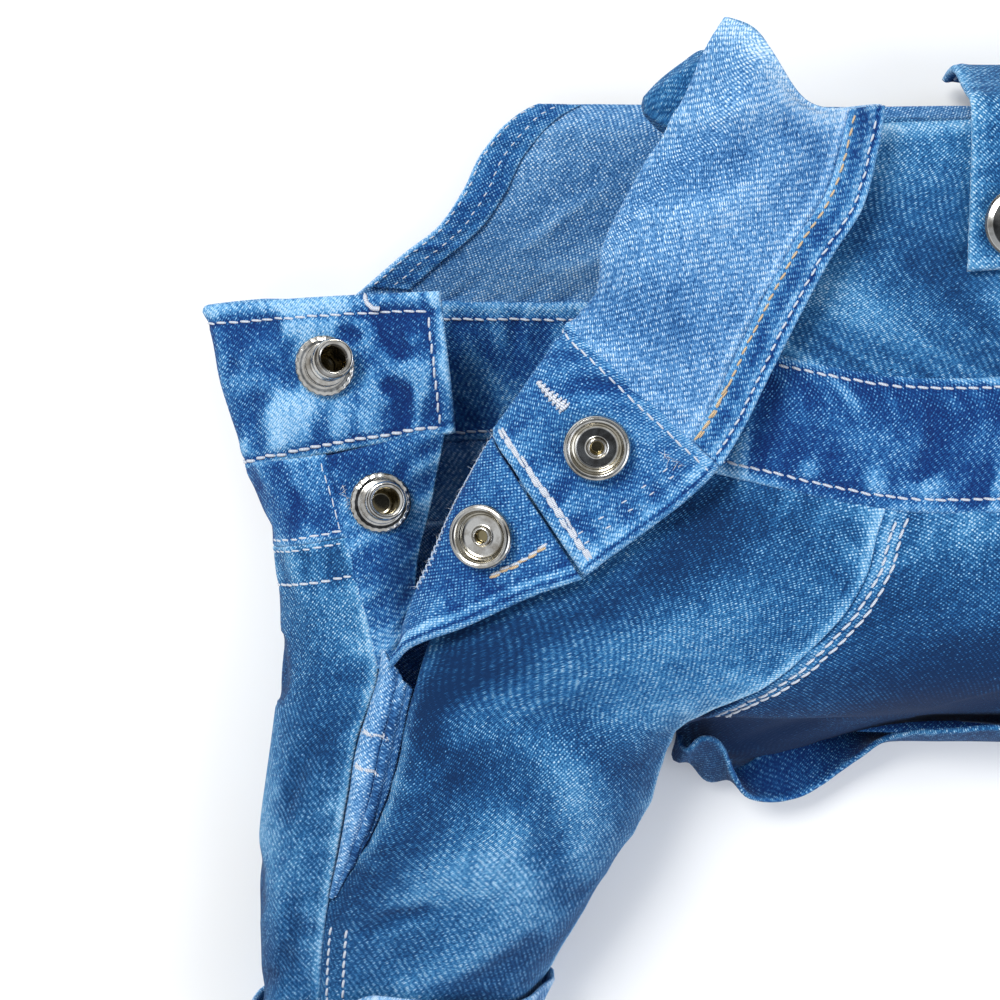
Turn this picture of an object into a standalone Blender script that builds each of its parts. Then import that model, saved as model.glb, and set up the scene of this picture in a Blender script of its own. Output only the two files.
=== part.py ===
"""Child's denim shortalls, laid down with the wearer's right side unsnapped.

The garment lies front up. +X is the wearer's left, +Y runs up towards the bib, +Z up from the floor, and
the origin is on the floor under the centre of the back waist seam. All tables are in millimetres.

Each cloth piece is a surface lofted through the rows of a short table: a row is one section across the
garment, and its columns are the named places that the cloth passes through. Solidify gives it its wall.
"""

from collections import namedtuple

import bmesh
import bpy
import numpy as np
from mathutils import Matrix, Vector

MM = 0.001

# Driving dimensions, in millimetres.
WALL = 1.6               # one layer of denim with its turned seam allowance
BAND_WALL = 2.2          # waistband, two layers
SKIN_WALL = 1.1          # facing strips laid on a panel
SEAM_GAP = 0.35          # clear space between two pieces at a seam
FLOOR_Z = WALL / 2       # middle of a wall that lies on the floor
WAISTBAND_HEIGHT = 32.0
FACING_WIDTH = 9.0       # armhole facing strip
PUCKER_DEPTH = 0.55      # gathers pressed into the waistband by its stitching
PUCKER_PITCH = 9.0
SNAP_STEPS = 16
CUFF_HEIGHT = 21.0
CUFF_TOP = -124.5        # level of the right cuff's free edge
CUFF_COLUMNS = 44
CUFF_SLACK = (0, -2.0, -1.0)   # how far the left cuff bows out between its fold and its rim
CUFF_STAND = 2.7         # how far a cuff stands off the leg
CUFF_SKEW = 6.0          # how much lower the right cuff hangs at its outer side
CUFF_SKEW_FROM = -118.0  # X where that begins, and over how much it grows
CUFF_SKEW_OVER = 14.0
INSEAM_GAP = 3.2         # between the front and back walls where they meet at an angle
STRAP_WIDTH = 22.0
STRAP_STAND = 2.5        # middle of a strap's wall above the bib's
STRAP_FOOT_Y = 97.0      # where the straps meet the back bib's folded top
STRAPS = (("strap_right", 26.0), ("strap_left", 56.0))   # each strap's middle line
STRAP_CAP_SPAN = (2.0, 18.0)   # its cap is centred between these distances from its end
SKIN_STAND = WALL / 2 + SEAM_GAP + SKIN_WALL / 2
CAP_SEAT = 0.75          # clear space under the middle of a cap's foot, on the closed side's round cloth
STRIP_TOP = -51.0        # levels of the side strip's ends
STRIP_FOOT = -99.0

DENIM_OUTER = (0.065, 0.175, 0.420, 1.0)
DENIM_REVERSE = (0.260, 0.430, 0.680, 1.0)
DENIM_DARK = (0.030, 0.090, 0.260, 1.0)
NICKEL = (0.620, 0.600, 0.570, 1.0)

# Front waistband and bib. level: height above the waist seam. centre: on the centre front line. tip: the
# outermost line of the loose fold where the unsnapped side is turned back. roll: radius of that fold.
# edge: the free edge of the turned-back part. sag: how far its middle drops. side: the closed side's edge.
# dip: how far the layer under the turned-back part lies below the line of the fold.
FrontRow = namedtuple("FrontRow", "level centre_y centre_z tip_x tip_y tip_z roll edge_x edge_y edge_z"
                                  " sag side_x side_y side_z dip")
FRONT = [
    FrontRow(0, 1.5, 40, -89.7, 18.3, 38, 6.0, -69.5, -12.1, 47.5, 0, 132, 10, 30.5, 0),
    FrontRow(32, 32.0, 38, -72.6, 44.1, 40, 6.0, -39.9, 13.3, 47.0, 0, 126, 42, 31, 0),
    FrontRow(42, 42.0, 37, -66.7, 52.6, 40, 6.0, -34.7, 22.3, 46.5, 0, 108, 50, 31, 0),
    FrontRow(52, 51.0, 36, -65.5, 60.7, 40, 6.0, -28.6, 35.3, 45.5, 0, 95, 58, 29, 0),
    FrontRow(72, 66.0, 35, -58.3, 77.0, 42, 5.5, -17.0, 59.1, 44.0, 0, 78, 71, 27, 0),
    FrontRow(88, 76.0, 34, -50.5, 88.7, 44, 5.0, -10.3, 70.4, 43.0, 0, 70, 80, 27, -2),
    FrontRow(104, 84.0, 33, -45.0, 103.0, 48, 4.5, -7.5, 84.0, 42.0, -2, 64, 87, 27, -9),
    FrontRow(114, 88.0, 32, -41.6, 109.6, 51, 4.0, -6.5, 92.0, 41.0, -8, 60, 91, 26, -12),
]

# Right leg front panel. inner: rise seam, then inseam. crown: highest line. ridge: where the panel rolls
# down into the side opening. drop: how far its edge hangs below the ridge, run: how far it moves out.
LegFrontRow = namedtuple("LegFrontRow", "level inner_x inner_y inner_z crown_x crown_y crown_z"
                                        " ridge_x ridge_y ridge_z run drop")
LEG_FRONT = [
    LegFrontRow(0, -0.6, 1.1, 40, -38, 7.4, 41.0, -64, 12, 38.5, 10.5, 2.0),
    LegFrontRow(-18, -6.5, -15.6, 44, -46, -12, 43.5, -80, -6, 39.0, 10, 3.0),
    LegFrontRow(-30, -13.4, -25.0, 46, -56, -24, 45.0, -91, -19, 39.5, 8, 3.0),
    LegFrontRow(-40, -26.0, -37.6, 45, -64, -35, 46.5, -99, -30, 40.5, 6, 3.0),
    LegFrontRow(-50, -42.6, -47.5, 40, -70, -46, 47.5, -106, -43, 43.0, 3, 4.0),
    LegFrontRow(-64, -47.5, -60.0, 28, -74, -60, 48.0, -109.5, -57, 44.5, 2.5, 4.5),
    LegFrontRow(-80, -52.0, -80.0, 20, -80, -76, 47.0, -113, -70, 44.5, 2.5, 4.5),
    LegFrontRow(-96, -60.0, -96.0, 18, -86, -92, 46.0, -119, -84, 42.5, 2.5, 4.0),
    LegFrontRow(-110, -68.0, -111.0, 17, -94, -106, 45.0, -127.5, -100, 38.5, 2.2, 2.0),
    LegFrontRow(-122, -76.0, -126.0, 17, -102, -118, 43.0, -130.5, -117, 36.0, 1.6, 1.2),
    LegFrontRow(-146, -86.0, -149.0, 17, -107, -142, 41.0, -130.5, -146, 35.0, 1.6, 1.2),
]

# Right half of the back, from the waist seam to the hem. seam: side seam, on the upper side because the
# back wraps round. tip: outermost line of the wrap. inner: centre back seam, then inseam. floor: height of
# the middle of the wall where it lies down, raised at the hem where the cuff is under it.
BackRow = namedtuple("BackRow", "level seam_x seam_y seam_z tip_x tip_y tip_z inner_x inner_y inner_z floor")
BACK = [
    BackRow(0, -129.0, 9.0, 25.5, -149.4, 4.5, 14, 0.0, 10.4, 0.8, 0.8),
    BackRow(-18, -124.4, -7.5, 29, -143.2, -13.3, 16, 0.0, -8, 0.8, 0.8),
    BackRow(-30, -121.5, -20.0, 31, -142.2, -25, 17, 0.0, -22, 0.8, 0.8),
    BackRow(-40, -119.0, -30.0, 32, -142.0, -34, 18, -4.0, -34, 0.8, 0.8),
    BackRow(-50, -117.6, -40.0, 34, -142.3, -45, 18.5, -24.0, -47, 3.0, 0.8),
    BackRow(-64, -122.5, -55.0, 36.5, -144.2, -58, 19.5, -47.5, -60, 28.0, 0.8),
    BackRow(-80, -125.2, -70.0, 37.5, -146.6, -74, 20, -52.0, -80, 20.0, 0.8),
    BackRow(-96, -128.0, -85.0, 37.0, -148.6, -89, 20, -60.0, -96, 18.0, 0.9),
    BackRow(-110, -131.2, -101.2, 36.0, -149.8, -106, 20, -68.0, -111, 17.0, 2.4),
    BackRow(-122, -133.2, -117.6, 34.2, -149.9, -125, 20, -76.0, -126, 17.0, 3.9),
    BackRow(-146, -133.2, -146.6, 33.2, -149.6, -152, 20, -86.0, -149, 17.0, 3.9),
]

# Back waistband and bib, both sides alike. end: the underlap's end, or the bib's armhole edge.
BandRow = namedtuple("BandRow", "level end_x end_y end_z tip_x tip_y tip_z centre_y")
BACK_BAND = [
    BandRow(0, 99.0, 16.3, 24, 149.2, 5.2, 14, 11),
    BandRow(11, 99.8, 27.0, 25, 152.6, 18.5, 15, 22),
    BandRow(22, 101.0, 38.5, 25, 155.8, 32.0, 15, 33),
    BandRow(34, 102.4, 50.4, 24, 158.0, 46.0, 14, 45),
]
BibRow = namedtuple("BibRow", "level edge_x edge_y edge_z middle_y lift")
BACK_BIB = [
    BibRow(0, 121.0, 48.5, 2.0, 45.6, 1.0),
    BibRow(6, 113.0, 55.5, 4.5, 53, 3.6),
    BibRow(14, 104.0, 62.5, 6.4, 62, 5.6),
    BibRow(24, 97.5, 71.5, 7.0, 71, 6.5),
    BibRow(34, 92.5, 81.0, 7.0, 80, 7.0),
    BibRow(42, 85.0, 88.5, 7.0, 87, 6.5),
    BibRow(46, 78.0, 91.5, 4.5, 91, 4.2),
]

# Front placket, the turned-back edge of the leg below the waistband. root: where it starts under the fold.
PlacketRow = namedtuple("PlacketRow", "level root_x root_y root_z tip_x tip_y tip_z roll edge_x edge_y edge_z")
FRONT_PLACKET = [
    PlacketRow(0, -78.0, 15.0, 31.5, -89.9, 17.8, 37.6, 6.0, -69.9, -12.7, 47.2),
    PlacketRow(15, -86.0, 4.0, 32, -97.5, 4.0, 37, 5.5, -82.0, -17.5, 46.2),
    PlacketRow(30, -93.0, -8.0, 32, -103.0, -8.0, 37, 5.0, -97.0, -25.0, 45.2),
    PlacketRow(42, -99.0, -17.0, 33, -107.5, -18.5, 37.5, 4.0, -109.5, -30.5, 44.0),
    PlacketRow(50, -103.0, -24.5, 34.5, -110.0, -26.0, 38, 2.8, -114.5, -36.0, 42.6),
]

# Underlap placket below the back waistband, which carries the lower stud.
UnderlapRow = namedtuple("UnderlapRow", "level seam_x seam_y seam_z edge_x edge_y edge_z")
UNDERLAP = [
    UnderlapRow(0, -127.9, 9.7, 25.8, -101.5, 16.1, 24.2),
    UnderlapRow(14, -124.0, -4.5, 28.6, -105.5, -3.0, 24.5),
    UnderlapRow(26, -121.4, -17.0, 31.0, -108.2, -14.0, 26.0),
    UnderlapRow(38, -118.8, -28.5, 32.2, -109.6, -26.0, 28.5),
    UnderlapRow(48, -117.0, -39.0, 33.6, -114.4, -37.5, 33.0),
]

# Left leg. inner: rise seam, then its short inseam. crown and side as on the right leg.
LeftRow = namedtuple("LeftRow", "level inner_x inner_y inner_z crown_x crown_y crown_z side_x side_y side_z")
LEFT_FRONT = [
    LeftRow(0, 0.0, 1.1, 40, 60, 6.0, 41, 132, 9.4, 27),
    LeftRow(-18, -5.8, -15.6, 44, 58, -12, 44, 128.0, -8.0, 30),
    LeftRow(-30, -12.6, -25.0, 46, 54, -25, 45, 124.0, -20.0, 32),
    LeftRow(-40, -25.2, -37.8, 45, 46, -37, 43, 121.0, -32.0, 33),
    LeftRow(-50, -39.0, -48.6, 38, 30, -47, 35, 122.0, -42.0, 31),
    LeftRow(-60, -36.6, -54.0, 26, 20, -54.5, 22, 125.0, -51.0, 24),
    LeftRow(-70, -33.5, -71.0, 9.5, 11, -62.1, 10, 127.0, -63.0, 14),
]
LEFT_BACK = [
    BackRow(0, 129.0, 9.0, 25.0, 149.4, 4.5, 14, 0.0, 10.4, 0.8, 0.8),
    BackRow(-18, 124.4, -7.5, 26, 147.2, -13.3, 14, 0.0, -8, 0.8, 0.8),
    BackRow(-30, 121.5, -20.0, 27, 147.2, -24, 15, 0.8, -22, 0.8, 0.8),
    BackRow(-40, 121.0, -30.0, 28, 147.0, -33, 15, -3.2, -34, 0.8, 0.8),
    BackRow(-50, 123.5, -40.2, 29, 147.0, -42, 14, -20.0, -51.5, 2.8, 1.6),
    BackRow(-60, 126.6, -49.6, 22.4, 146.6, -51, 12.5, -30.0, -57.5, 9, 3.9),
    BackRow(-70, 128.5, -63.0, 12.6, 146.6, -63.5, 9, -35.0, -64, 8, 3.9),
]

# Left cuff, round the leg: fold is its lower line, rim its free upper edge, which falls open at the front.
CuffRow = namedtuple("CuffRow", "around x fold_y fold_z rim_x rim_y rim_z")
LEFT_CUFF = [
    CuffRow(0, -34, -66.0, 0.8, -34, -56.0, 0.8),
    CuffRow(7, -42, -68.5, 4.5, -42.5, -62.5, 9.0),
    CuffRow(12, -44, -71.0, 11.0, -43, -62.0, 27.0),
    CuffRow(16, -40, -72.0, 11.0, -40, -58.0, 30.5),
    CuffRow(21, -35, -78.5, 8.0, -35, -60.0, 27.0),
    CuffRow(29, -25, -75.5, 5.0, -27, -78.0, 16.5),
    CuffRow(41, -13, -66.5, 3.5, -12, -82.0, 11.5),
    CuffRow(51, -4, -66.0, 4.0, -2, -74.5, 12.5),
    CuffRow(61, 6, -67.0, 4.5, 8, -62.0, 20.0),
    CuffRow(75, 24, -67.5, 5.0, 24, -57.0, 27.0),
    CuffRow(115, 66, -68.5, 6.0, 66, -56.0, 30.0),
    CuffRow(155, 110, -69.5, 7.0, 110, -56.5, 31.0),
    CuffRow(182, 138, -70.0, 9.0, 138, -57.0, 28.0),
    CuffRow(200, 154, -70.0, 7.0, 155, -58.0, 12.0),
    CuffRow(214, 142, -69.0, 0.8, 142, -58.0, 0.8),
    CuffRow(256, 100, -68.0, 0.8, 100, -58.0, 0.8),
    CuffRow(316, 40, -67.0, 0.8, 40, -58.0, 0.8),
    CuffRow(368, -12, -66.5, 0.8, -12, -58.0, 0.8),
]

# Side strip that shows in the groove between the back's seam edge and the front's ridge, across its width.
StripPoint = namedtuple("StripPoint", "share rise")
SIDE_STRIP = [
    StripPoint(0.00, 0.6),
    StripPoint(0.22, 1.6),
    StripPoint(0.42, 0.9),
    StripPoint(0.52, -0.3),
    StripPoint(0.68, 0.7),
    StripPoint(0.84, -0.5),
    StripPoint(1.00, -0.2),
]

# Bib top, folded back under itself with the strap ends inside it: one rounded solid. Sections along X.
FoldRow = namedtuple("FoldRow", "x middle_y depth low_z high_z")
BIB_FOLD = [
    FoldRow(-57.0, 91.5, 3.0, 25, 29),
    FoldRow(-54.0, 91.5, 9.0, 20, 31),
    FoldRow(-48.0, 91.5, 18.0, 16, 33),
    FoldRow(-43.5, 89.0, 28.0, 11, 34),
    FoldRow(-36.0, 81.0, 34.0, 9.2, 30),
    FoldRow(-20.0, 74.0, 34.0, 8.3, 29),
    FoldRow(10.0, 72.0, 32.0, 8.3, 27),
    FoldRow(40.0, 74.0, 32.0, 8.3, 24),
    FoldRow(62.0, 77.0, 26.0, 9.5, 22),
    FoldRow(70.0, 78.0, 12.0, 12, 19),
]

# Turned profiles, outer side from top to bottom: radius, height above the cloth.
ProfilePoint = namedtuple("ProfilePoint", "radius height")
STUD = [
    ProfilePoint(2.3, 1.6),
    ProfilePoint(2.5, 4.1),
    ProfilePoint(3.6, 4.5),
    ProfilePoint(4.6, 3.9),
    ProfilePoint(4.4, 3.0),
    ProfilePoint(4.1, 1.5),
    ProfilePoint(5.0, 0.9),
    ProfilePoint(6.6, 0.8),
    ProfilePoint(7.2, 0.4),
    ProfilePoint(7.0, 0.0),
]
SOCKET = [
    ProfilePoint(1.3, 0.9),
    ProfilePoint(1.5, 2.0),
    ProfilePoint(2.5, 2.1),
    ProfilePoint(2.9, 0.9),
    ProfilePoint(5.3, 0.9),
    ProfilePoint(5.7, 2.4),
    ProfilePoint(6.6, 2.8),
    ProfilePoint(7.4, 1.9),
    ProfilePoint(7.1, 0.6),
    ProfilePoint(6.2, 0.0),
]
CAP = [
    ProfilePoint(4.0, 2.0),
    ProfilePoint(7.4, 1.5),
    ProfilePoint(8.0, 0.7),
    ProfilePoint(7.4, 0.0),
]


def clear_scene():
    for thing in list(bpy.data.objects):
        bpy.data.objects.remove(thing, do_unlink=True)


def hermite(at, values, x):
    """Smooth curve through values, whose first axis runs along at."""
    at = np.asarray(at, float)
    values = np.asarray(values, float)
    slopes = np.gradient(values, at, axis=0)
    x = np.clip(np.atleast_1d(x), at[0], at[-1])
    k = np.clip(np.searchsorted(at, x, side="right") - 1, 0, len(at) - 2)
    width = at[k + 1] - at[k]
    s = ((x - at[k]) / width)[:, None]
    width = width[:, None]
    return ((1 + 2 * s) * (1 - s) ** 2 * values[k] + s * (1 - s) ** 2 * width * slopes[k]
            + s * s * (3 - 2 * s) * values[k + 1] + s * s * (s - 1) * width * slopes[k + 1])


def row_at(rows, level):
    """The row of a table at any level between its rows."""
    ordered = sorted(rows, key=lambda row: row[0])
    table = np.array(ordered, float)
    return type(rows[0])(*hermite(table[:, 0], table, level)[0])


def smooth_line(stations, per_span=14):
    """A dense smooth line through the stations of one section."""
    stations = np.asarray(stations, float)
    steps = np.linalg.norm(np.diff(stations, axis=0), axis=1)
    at = np.concatenate([[0.0], np.cumsum(steps)])
    dense = np.unique(np.concatenate([np.linspace(at[i], at[i + 1], per_span) for i in range(len(at) - 1)]))
    return hermite(at, stations, dense)


def spaced(line, start, end, count):
    """count points along the line, at equal steps between two distances from its start."""
    steps = np.linalg.norm(np.diff(line, axis=0), axis=1)
    at = np.concatenate([[0.0], np.cumsum(steps)])
    wanted = np.linspace(start, end, count)
    return np.stack([np.interp(wanted, at, line[:, axis]) for axis in range(3)], axis=1)


def length_of(line):
    return float(np.linalg.norm(np.diff(line, axis=0), axis=1).sum())


def mix(a, b, share):
    return a + (b - a) * share


def fold_stations(tip, roll, root_way, edge):
    """Stations of a loose fold: below it, its tip, above it, and on to the free edge."""
    tip = np.array(tip)
    edge = np.array(edge)
    way = edge[:2] - tip[:2]
    way = way / np.linalg.norm(way)
    below = tip + np.array([root_way[0] * roll * 1.3, root_way[1] * roll * 1.3, -roll])
    above = tip + np.array([way[0] * roll * 1.3, way[1] * roll * 1.3, roll])
    return below, tip, above, edge


def front_line(level):
    """Section of the front waistband and bib, from the closed side to the turned-back edge."""
    r = row_at(FRONT, level)
    centre = np.array([0.0, r.centre_y, r.centre_z])
    side = np.array([r.side_x, r.side_y, r.side_z])
    tip = np.array([r.tip_x, r.tip_y, r.tip_z])
    below, tip, above, edge = fold_stations(tip, r.roll, (1.0, -0.25), (r.edge_x, r.edge_y, r.edge_z))
    flank = mix(centre, side, 0.62) + np.array([0, 0, 3.5])
    under = mix(centre, below, 0.55) + np.array([0, 1.0 + r.dip, 1.0])
    turned = mix(above, edge, 0.45) + np.array([0, r.sag, 1.2])
    return smooth_line([side, flank, centre, under, below, tip, above, turned, edge])


def under_waistband(line, level, reach=14.0):
    """Bend the top of a leg panel's section to the waistband's lower edge, fading out over reach."""
    share = np.clip(1 + level / reach, 0, 1)
    if share == 0:
        return line
    share = share * share * (3 - 2 * share)
    seam = front_line(0)
    outer_side = seam[:np.argmin(seam[:, 0])][::-1]
    y = np.interp(line[:, 0], outer_side[:, 0], outer_side[:, 1]) + level - SEAM_GAP
    z = np.interp(line[:, 0], outer_side[:, 0], outer_side[:, 2])
    bent = line.copy()
    bent[:, 1] = mix(line[:, 1], y, share)
    bent[:, 2] = mix(line[:, 2], z, share)
    return bent


def leg_front_line(level):
    """Section of the right leg's front panel, from the rise seam or inseam to its outer edge."""
    r = row_at(LEG_FRONT, level)
    inner = np.array([r.inner_x, r.inner_y, r.inner_z])
    crown = np.array([r.crown_x, r.crown_y, r.crown_z])
    ridge = np.array([r.ridge_x, r.ridge_y, r.ridge_z])
    depth = max(r.crown_z - r.inner_z, 0)
    shoulder = mix(inner, crown, 0.34) + np.array([0, 0, depth * 0.34])
    edge = ridge + np.array([-r.run, -0.2, -r.drop])
    brow = mix(crown, ridge, 0.6) + np.array([0, 0, 0.8])
    inner[2] += INSEAM_GAP / 2
    return under_waistband(smooth_line([inner, shoulder, crown, brow, ridge, edge]), level)


def back_line(rows, level):
    """Section of a half back: side seam, round the wrapped side, along the floor, inner seam."""
    r = row_at(rows, level)
    side = np.sign(r.tip_x)
    seam = np.array([r.seam_x, r.seam_y, r.seam_z])
    tip = np.array([r.tip_x, r.tip_y, r.tip_z])
    upper = mix(seam, tip, 0.55) + np.array([side * 2.5, 0, 3.5])
    landing = np.array([r.tip_x - side * 11, mix(r.tip_y, r.inner_y, 0.15), r.floor])
    low = np.array([r.tip_x - side * 30, mix(r.tip_y, r.inner_y, 0.35), r.floor])
    floor = max(r.floor, FLOOR_Z)
    inner = np.array([r.inner_x, r.inner_y, max(r.inner_z - INSEAM_GAP / 2, floor)])
    rise = np.clip((r.inner_z - r.floor) / 12, 0, 1)
    last = mix(low, inner, 0.8)
    last[2] = r.floor + rise * (r.inner_z - r.floor) * 0.22
    line = smooth_line([seam, upper, tip, landing, low, last, inner])
    line[:, 2] = np.maximum(line[:, 2], floor)
    return line


def back_band_line(level):
    """Section of the back waistband: underlap end, wrapped side, along the floor, and the same again."""
    r = row_at(BACK_BAND, level)
    half = []
    end = np.array([r.end_x, r.end_y, r.end_z])
    tip = np.array([r.tip_x, r.tip_y, r.tip_z])
    half.append(end)
    half.append(mix(end, tip, 0.5) + np.array([2.0, 0.5, 2.6]))
    half.append(tip)
    half.append(np.array([r.tip_x - 12, mix(r.tip_y, r.centre_y, 0.2), BAND_WALL / 2]))
    half.append(np.array([r.tip_x - 40, mix(r.tip_y, r.centre_y, 0.6), BAND_WALL / 2]))
    half.append(np.array([r.tip_x - 90, r.centre_y, BAND_WALL / 2]))
    half = np.array(half)
    right = half * np.array([-1, 1, 1])
    line = smooth_line(np.concatenate([right, half[::-1]]))
    line[:, 2] = np.maximum(line[:, 2], BAND_WALL / 2)
    return line


def back_bib_line(level):
    """Section of the back bib, armhole edge to armhole edge, raised on the part folded under it."""
    r = row_at(BACK_BIB, level)
    half = np.array([
        [r.edge_x, r.edge_y, r.edge_z],
        [r.edge_x * 0.72, mix(r.edge_y, r.middle_y, 0.6), r.lift + 0.6],
        [r.edge_x * 0.36, r.middle_y, r.lift + 0.2],
    ])
    right = half * np.array([-1, 1, 1])
    return smooth_line(np.concatenate([right, half[::-1]]))


def placket_line(level):
    """Section of the front placket, from under the fold to its free edge."""
    r = row_at(FRONT_PLACKET, level)
    below, tip, above, edge = fold_stations((r.tip_x, r.tip_y, r.tip_z), r.roll, (0.9, -0.1),
                                            (r.edge_x, r.edge_y, r.edge_z))
    root = np.array([r.root_x, r.root_y, r.root_z])
    return smooth_line([root, mix(root, below, 0.6) + np.array([0, 0, -0.3]), tip, above,
                        mix(above, edge, 0.5) + np.array([0, 0, 0.6]), edge])


def underlap_line(level):
    r = row_at(UNDERLAP, level)
    seam = np.array([r.seam_x, r.seam_y, r.seam_z])
    edge = np.array([r.edge_x, r.edge_y, r.edge_z])
    middle = mix(seam, edge, 0.5) + np.array([0, 0, 1.4])
    return smooth_line([seam, middle, edge])


def left_front_line(level):
    r = row_at(LEFT_FRONT, level)
    inner = np.array([r.inner_x, r.inner_y, r.inner_z])
    crown = np.array([r.crown_x, r.crown_y, r.crown_z])
    side = np.array([r.side_x, r.side_y, r.side_z])
    line = smooth_line([inner, mix(inner, crown, 0.5) + np.array([0, 0, 1.5]), crown,
                        mix(crown, side, 0.6) + np.array([0, 0, 3.0]), side])
    return under_waistband(line, level)


def sheet_grid(section, levels, columns, start=0.0, end=0.0, from_end=False):
    """Grid of points over a surface. start and end trim each section, in millimetres, from its two ends.
    With from_end, start and end are both distances from the section's last point."""
    grid = []
    for level in levels:
        line = section(level)
        total = length_of(line)
        if from_end:
            grid.append(spaced(line, total - start, total - end, columns))
        else:
            grid.append(spaced(line, start, total - end, columns))
    return np.array(grid)


def grid_normals(grid):
    along = np.gradient(grid, axis=0)
    across = np.gradient(grid, axis=1)
    normals = np.cross(across, along)
    return normals / np.linalg.norm(normals, axis=2, keepdims=True)


def raised(grid, height):
    """The grid moved along its own normals."""
    return grid + grid_normals(grid) * np.asarray(height)[..., None]


def puckered(grid, depth, pitch, phase=0.0):
    """Gathers across a band: uneven ripples that run from seam to seam."""
    steps = np.linalg.norm(np.diff(grid, axis=1), axis=2)
    run = np.concatenate([np.zeros((len(grid), 1)), np.cumsum(steps, axis=1)], axis=1)
    share = np.linspace(0, 1, len(grid))[:, None]
    wave = np.sin(2 * np.pi * run / pitch + phase + 1.1 * np.sin(run / 23.0) + 0.8 * share)
    hush = np.minimum(1, np.minimum(run, run[:, -1:] - run) / 6.0)
    return raised(grid, depth * wave * (0.55 + 0.45 * np.sin(np.pi * share)) * hush)


def material(name, colour, roughness, metallic=0.0):
    made = bpy.data.materials.get(name) or bpy.data.materials.new(name)
    made.use_nodes = True
    shader = made.node_tree.nodes["Principled BSDF"]
    shader.inputs["Base Color"].default_value = colour
    shader.inputs["Roughness"].default_value = roughness
    shader.inputs["Metallic"].default_value = metallic
    made.diffuse_color = colour
    return made


def add_object(name, mesh, surface):
    mesh.materials.append(surface)
    mesh.shade_smooth()
    thing = bpy.data.objects.new(name, mesh)
    garment.objects.link(thing)
    return thing


def add_cloth(name, grid, wall, surface, closed=False):
    """Skin the grid with quads and give it a wall with Solidify, half on each side of the grid."""
    rows, columns = grid.shape[:2]
    mesh = bpy.data.meshes.new(name)
    points = grid.reshape(-1, 3) * MM
    faces = []
    for i in range(rows - 1):
        for j in range(columns if closed else columns - 1):
            k = (j + 1) % columns
            faces.append((i * columns + j, i * columns + k, (i + 1) * columns + k, (i + 1) * columns + j))
    mesh.from_pydata(points.tolist(), [], faces)
    mesh.validate()
    thing = add_object(name, mesh, surface)
    cloth = thing.modifiers.new("wall", "SOLIDIFY")
    cloth.thickness = wall * MM
    cloth.offset = 0.0
    cloth.use_even_offset = False
    return thing


def add_turned(name, profile, place, axis, surface):
    """A turned metal piece: its profile swept round, closed at the middle, then stood on the cloth."""
    points = [(p.radius * MM, 0.0, p.height * MM) for p in profile]
    points = [(0.0, 0.0, points[0][2])] + points + [(0.0, 0.0, points[-1][2])]
    mesh = bpy.data.meshes.new(name)
    mesh.from_pydata(points, [(i, i + 1) for i in range(len(points) - 1)], [])
    thing = add_object(name, mesh, surface)
    turn = thing.modifiers.new("turned", "SCREW")
    turn.steps = SNAP_STEPS
    turn.render_steps = SNAP_STEPS
    turn.use_merge_vertices = True
    turn.merge_threshold = 0.00002
    thing.matrix_world = standing(place, axis)
    return thing


def standing(place, axis):
    """Matrix that stands local +Z along axis at a place given in millimetres."""
    turned = Vector(axis).normalized().to_track_quat("Z", "Y")
    return Matrix.Translation(Vector(place) * MM) @ turned.to_matrix().to_4x4()


def levels_between(rows, first, last, fine):
    """first, last and every level of a table between them, with fine more inside each step."""
    marks = sorted({first, last} | {row[0] for row in rows if min(first, last) < row[0] < max(first, last)})
    steps = [np.linspace(a, b, fine + 2)[:-1] for a, b in zip(marks, marks[1:])]
    return np.concatenate(steps + [marks[-1:]])


def yoke_line(level):
    """Section of the back yoke, side seam to side seam in one piece."""
    right = back_line(BACK, level)
    left = back_line(LEFT_BACK, level)
    middle = np.argmin(np.abs(right[:, 0] + 20))
    return np.concatenate([right[:middle], left[np.argmin(np.abs(left[:, 0] - 20))::-1]])


def back_pieces():
    """Back yoke, legs, waistband with its underlaps, bib and armhole facings."""
    yoke = sheet_grid(yoke_line, np.linspace(-1.0, -17.6, 4), 40)
    yoke[:, :, 2] = np.maximum(yoke[:, :, 2], FLOOR_Z)
    add_cloth("back_yoke", yoke, WALL, outer)
    leg = sheet_grid(lambda level: back_line(BACK, level), levels_between(BACK, -18.4, -146, 1), 18)
    add_cloth("back_leg_right", leg, WALL, outer)
    levels = levels_between(LEFT_BACK, -18.4, -70, 1)
    leg = sheet_grid(lambda level: back_line(LEFT_BACK, level), levels, 16)
    add_cloth("back_leg_left", leg, WALL, outer)
    band = sheet_grid(back_band_line, np.linspace(0.8, WAISTBAND_HEIGHT + 1.4, 5), 70)
    band = puckered(band, PUCKER_DEPTH * 0.6, PUCKER_PITCH)
    band[:, :, 2] = np.maximum(band[:, :, 2], BAND_WALL / 2)
    add_cloth("back_waistband", band, BAND_WALL, dark)
    bib_levels = levels_between(BACK_BIB, 0, 46, 1)
    add_cloth("back_bib", sheet_grid(back_bib_line, bib_levels, 15), WALL, reverse)
    strip = np.array([spaced(back_bib_line(level), 0.6, FACING_WIDTH * 1.15, 4) for level in bib_levels[:-1]])
    up = np.sign(grid_normals(strip)[3, 1, 2])
    strip = raised(strip, np.full(strip.shape[:2], up * SKIN_STAND))
    add_cloth("back_facing_right", strip, SKIN_WALL, dark)
    add_cloth("back_facing_left", strip * np.array([-1, 1, 1]), SKIN_WALL, dark)
    underlap = sheet_grid(underlap_line, levels_between(UNDERLAP, 0, 48, 1), 8)
    add_cloth("back_underlap_right", underlap, WALL, dark)


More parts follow.
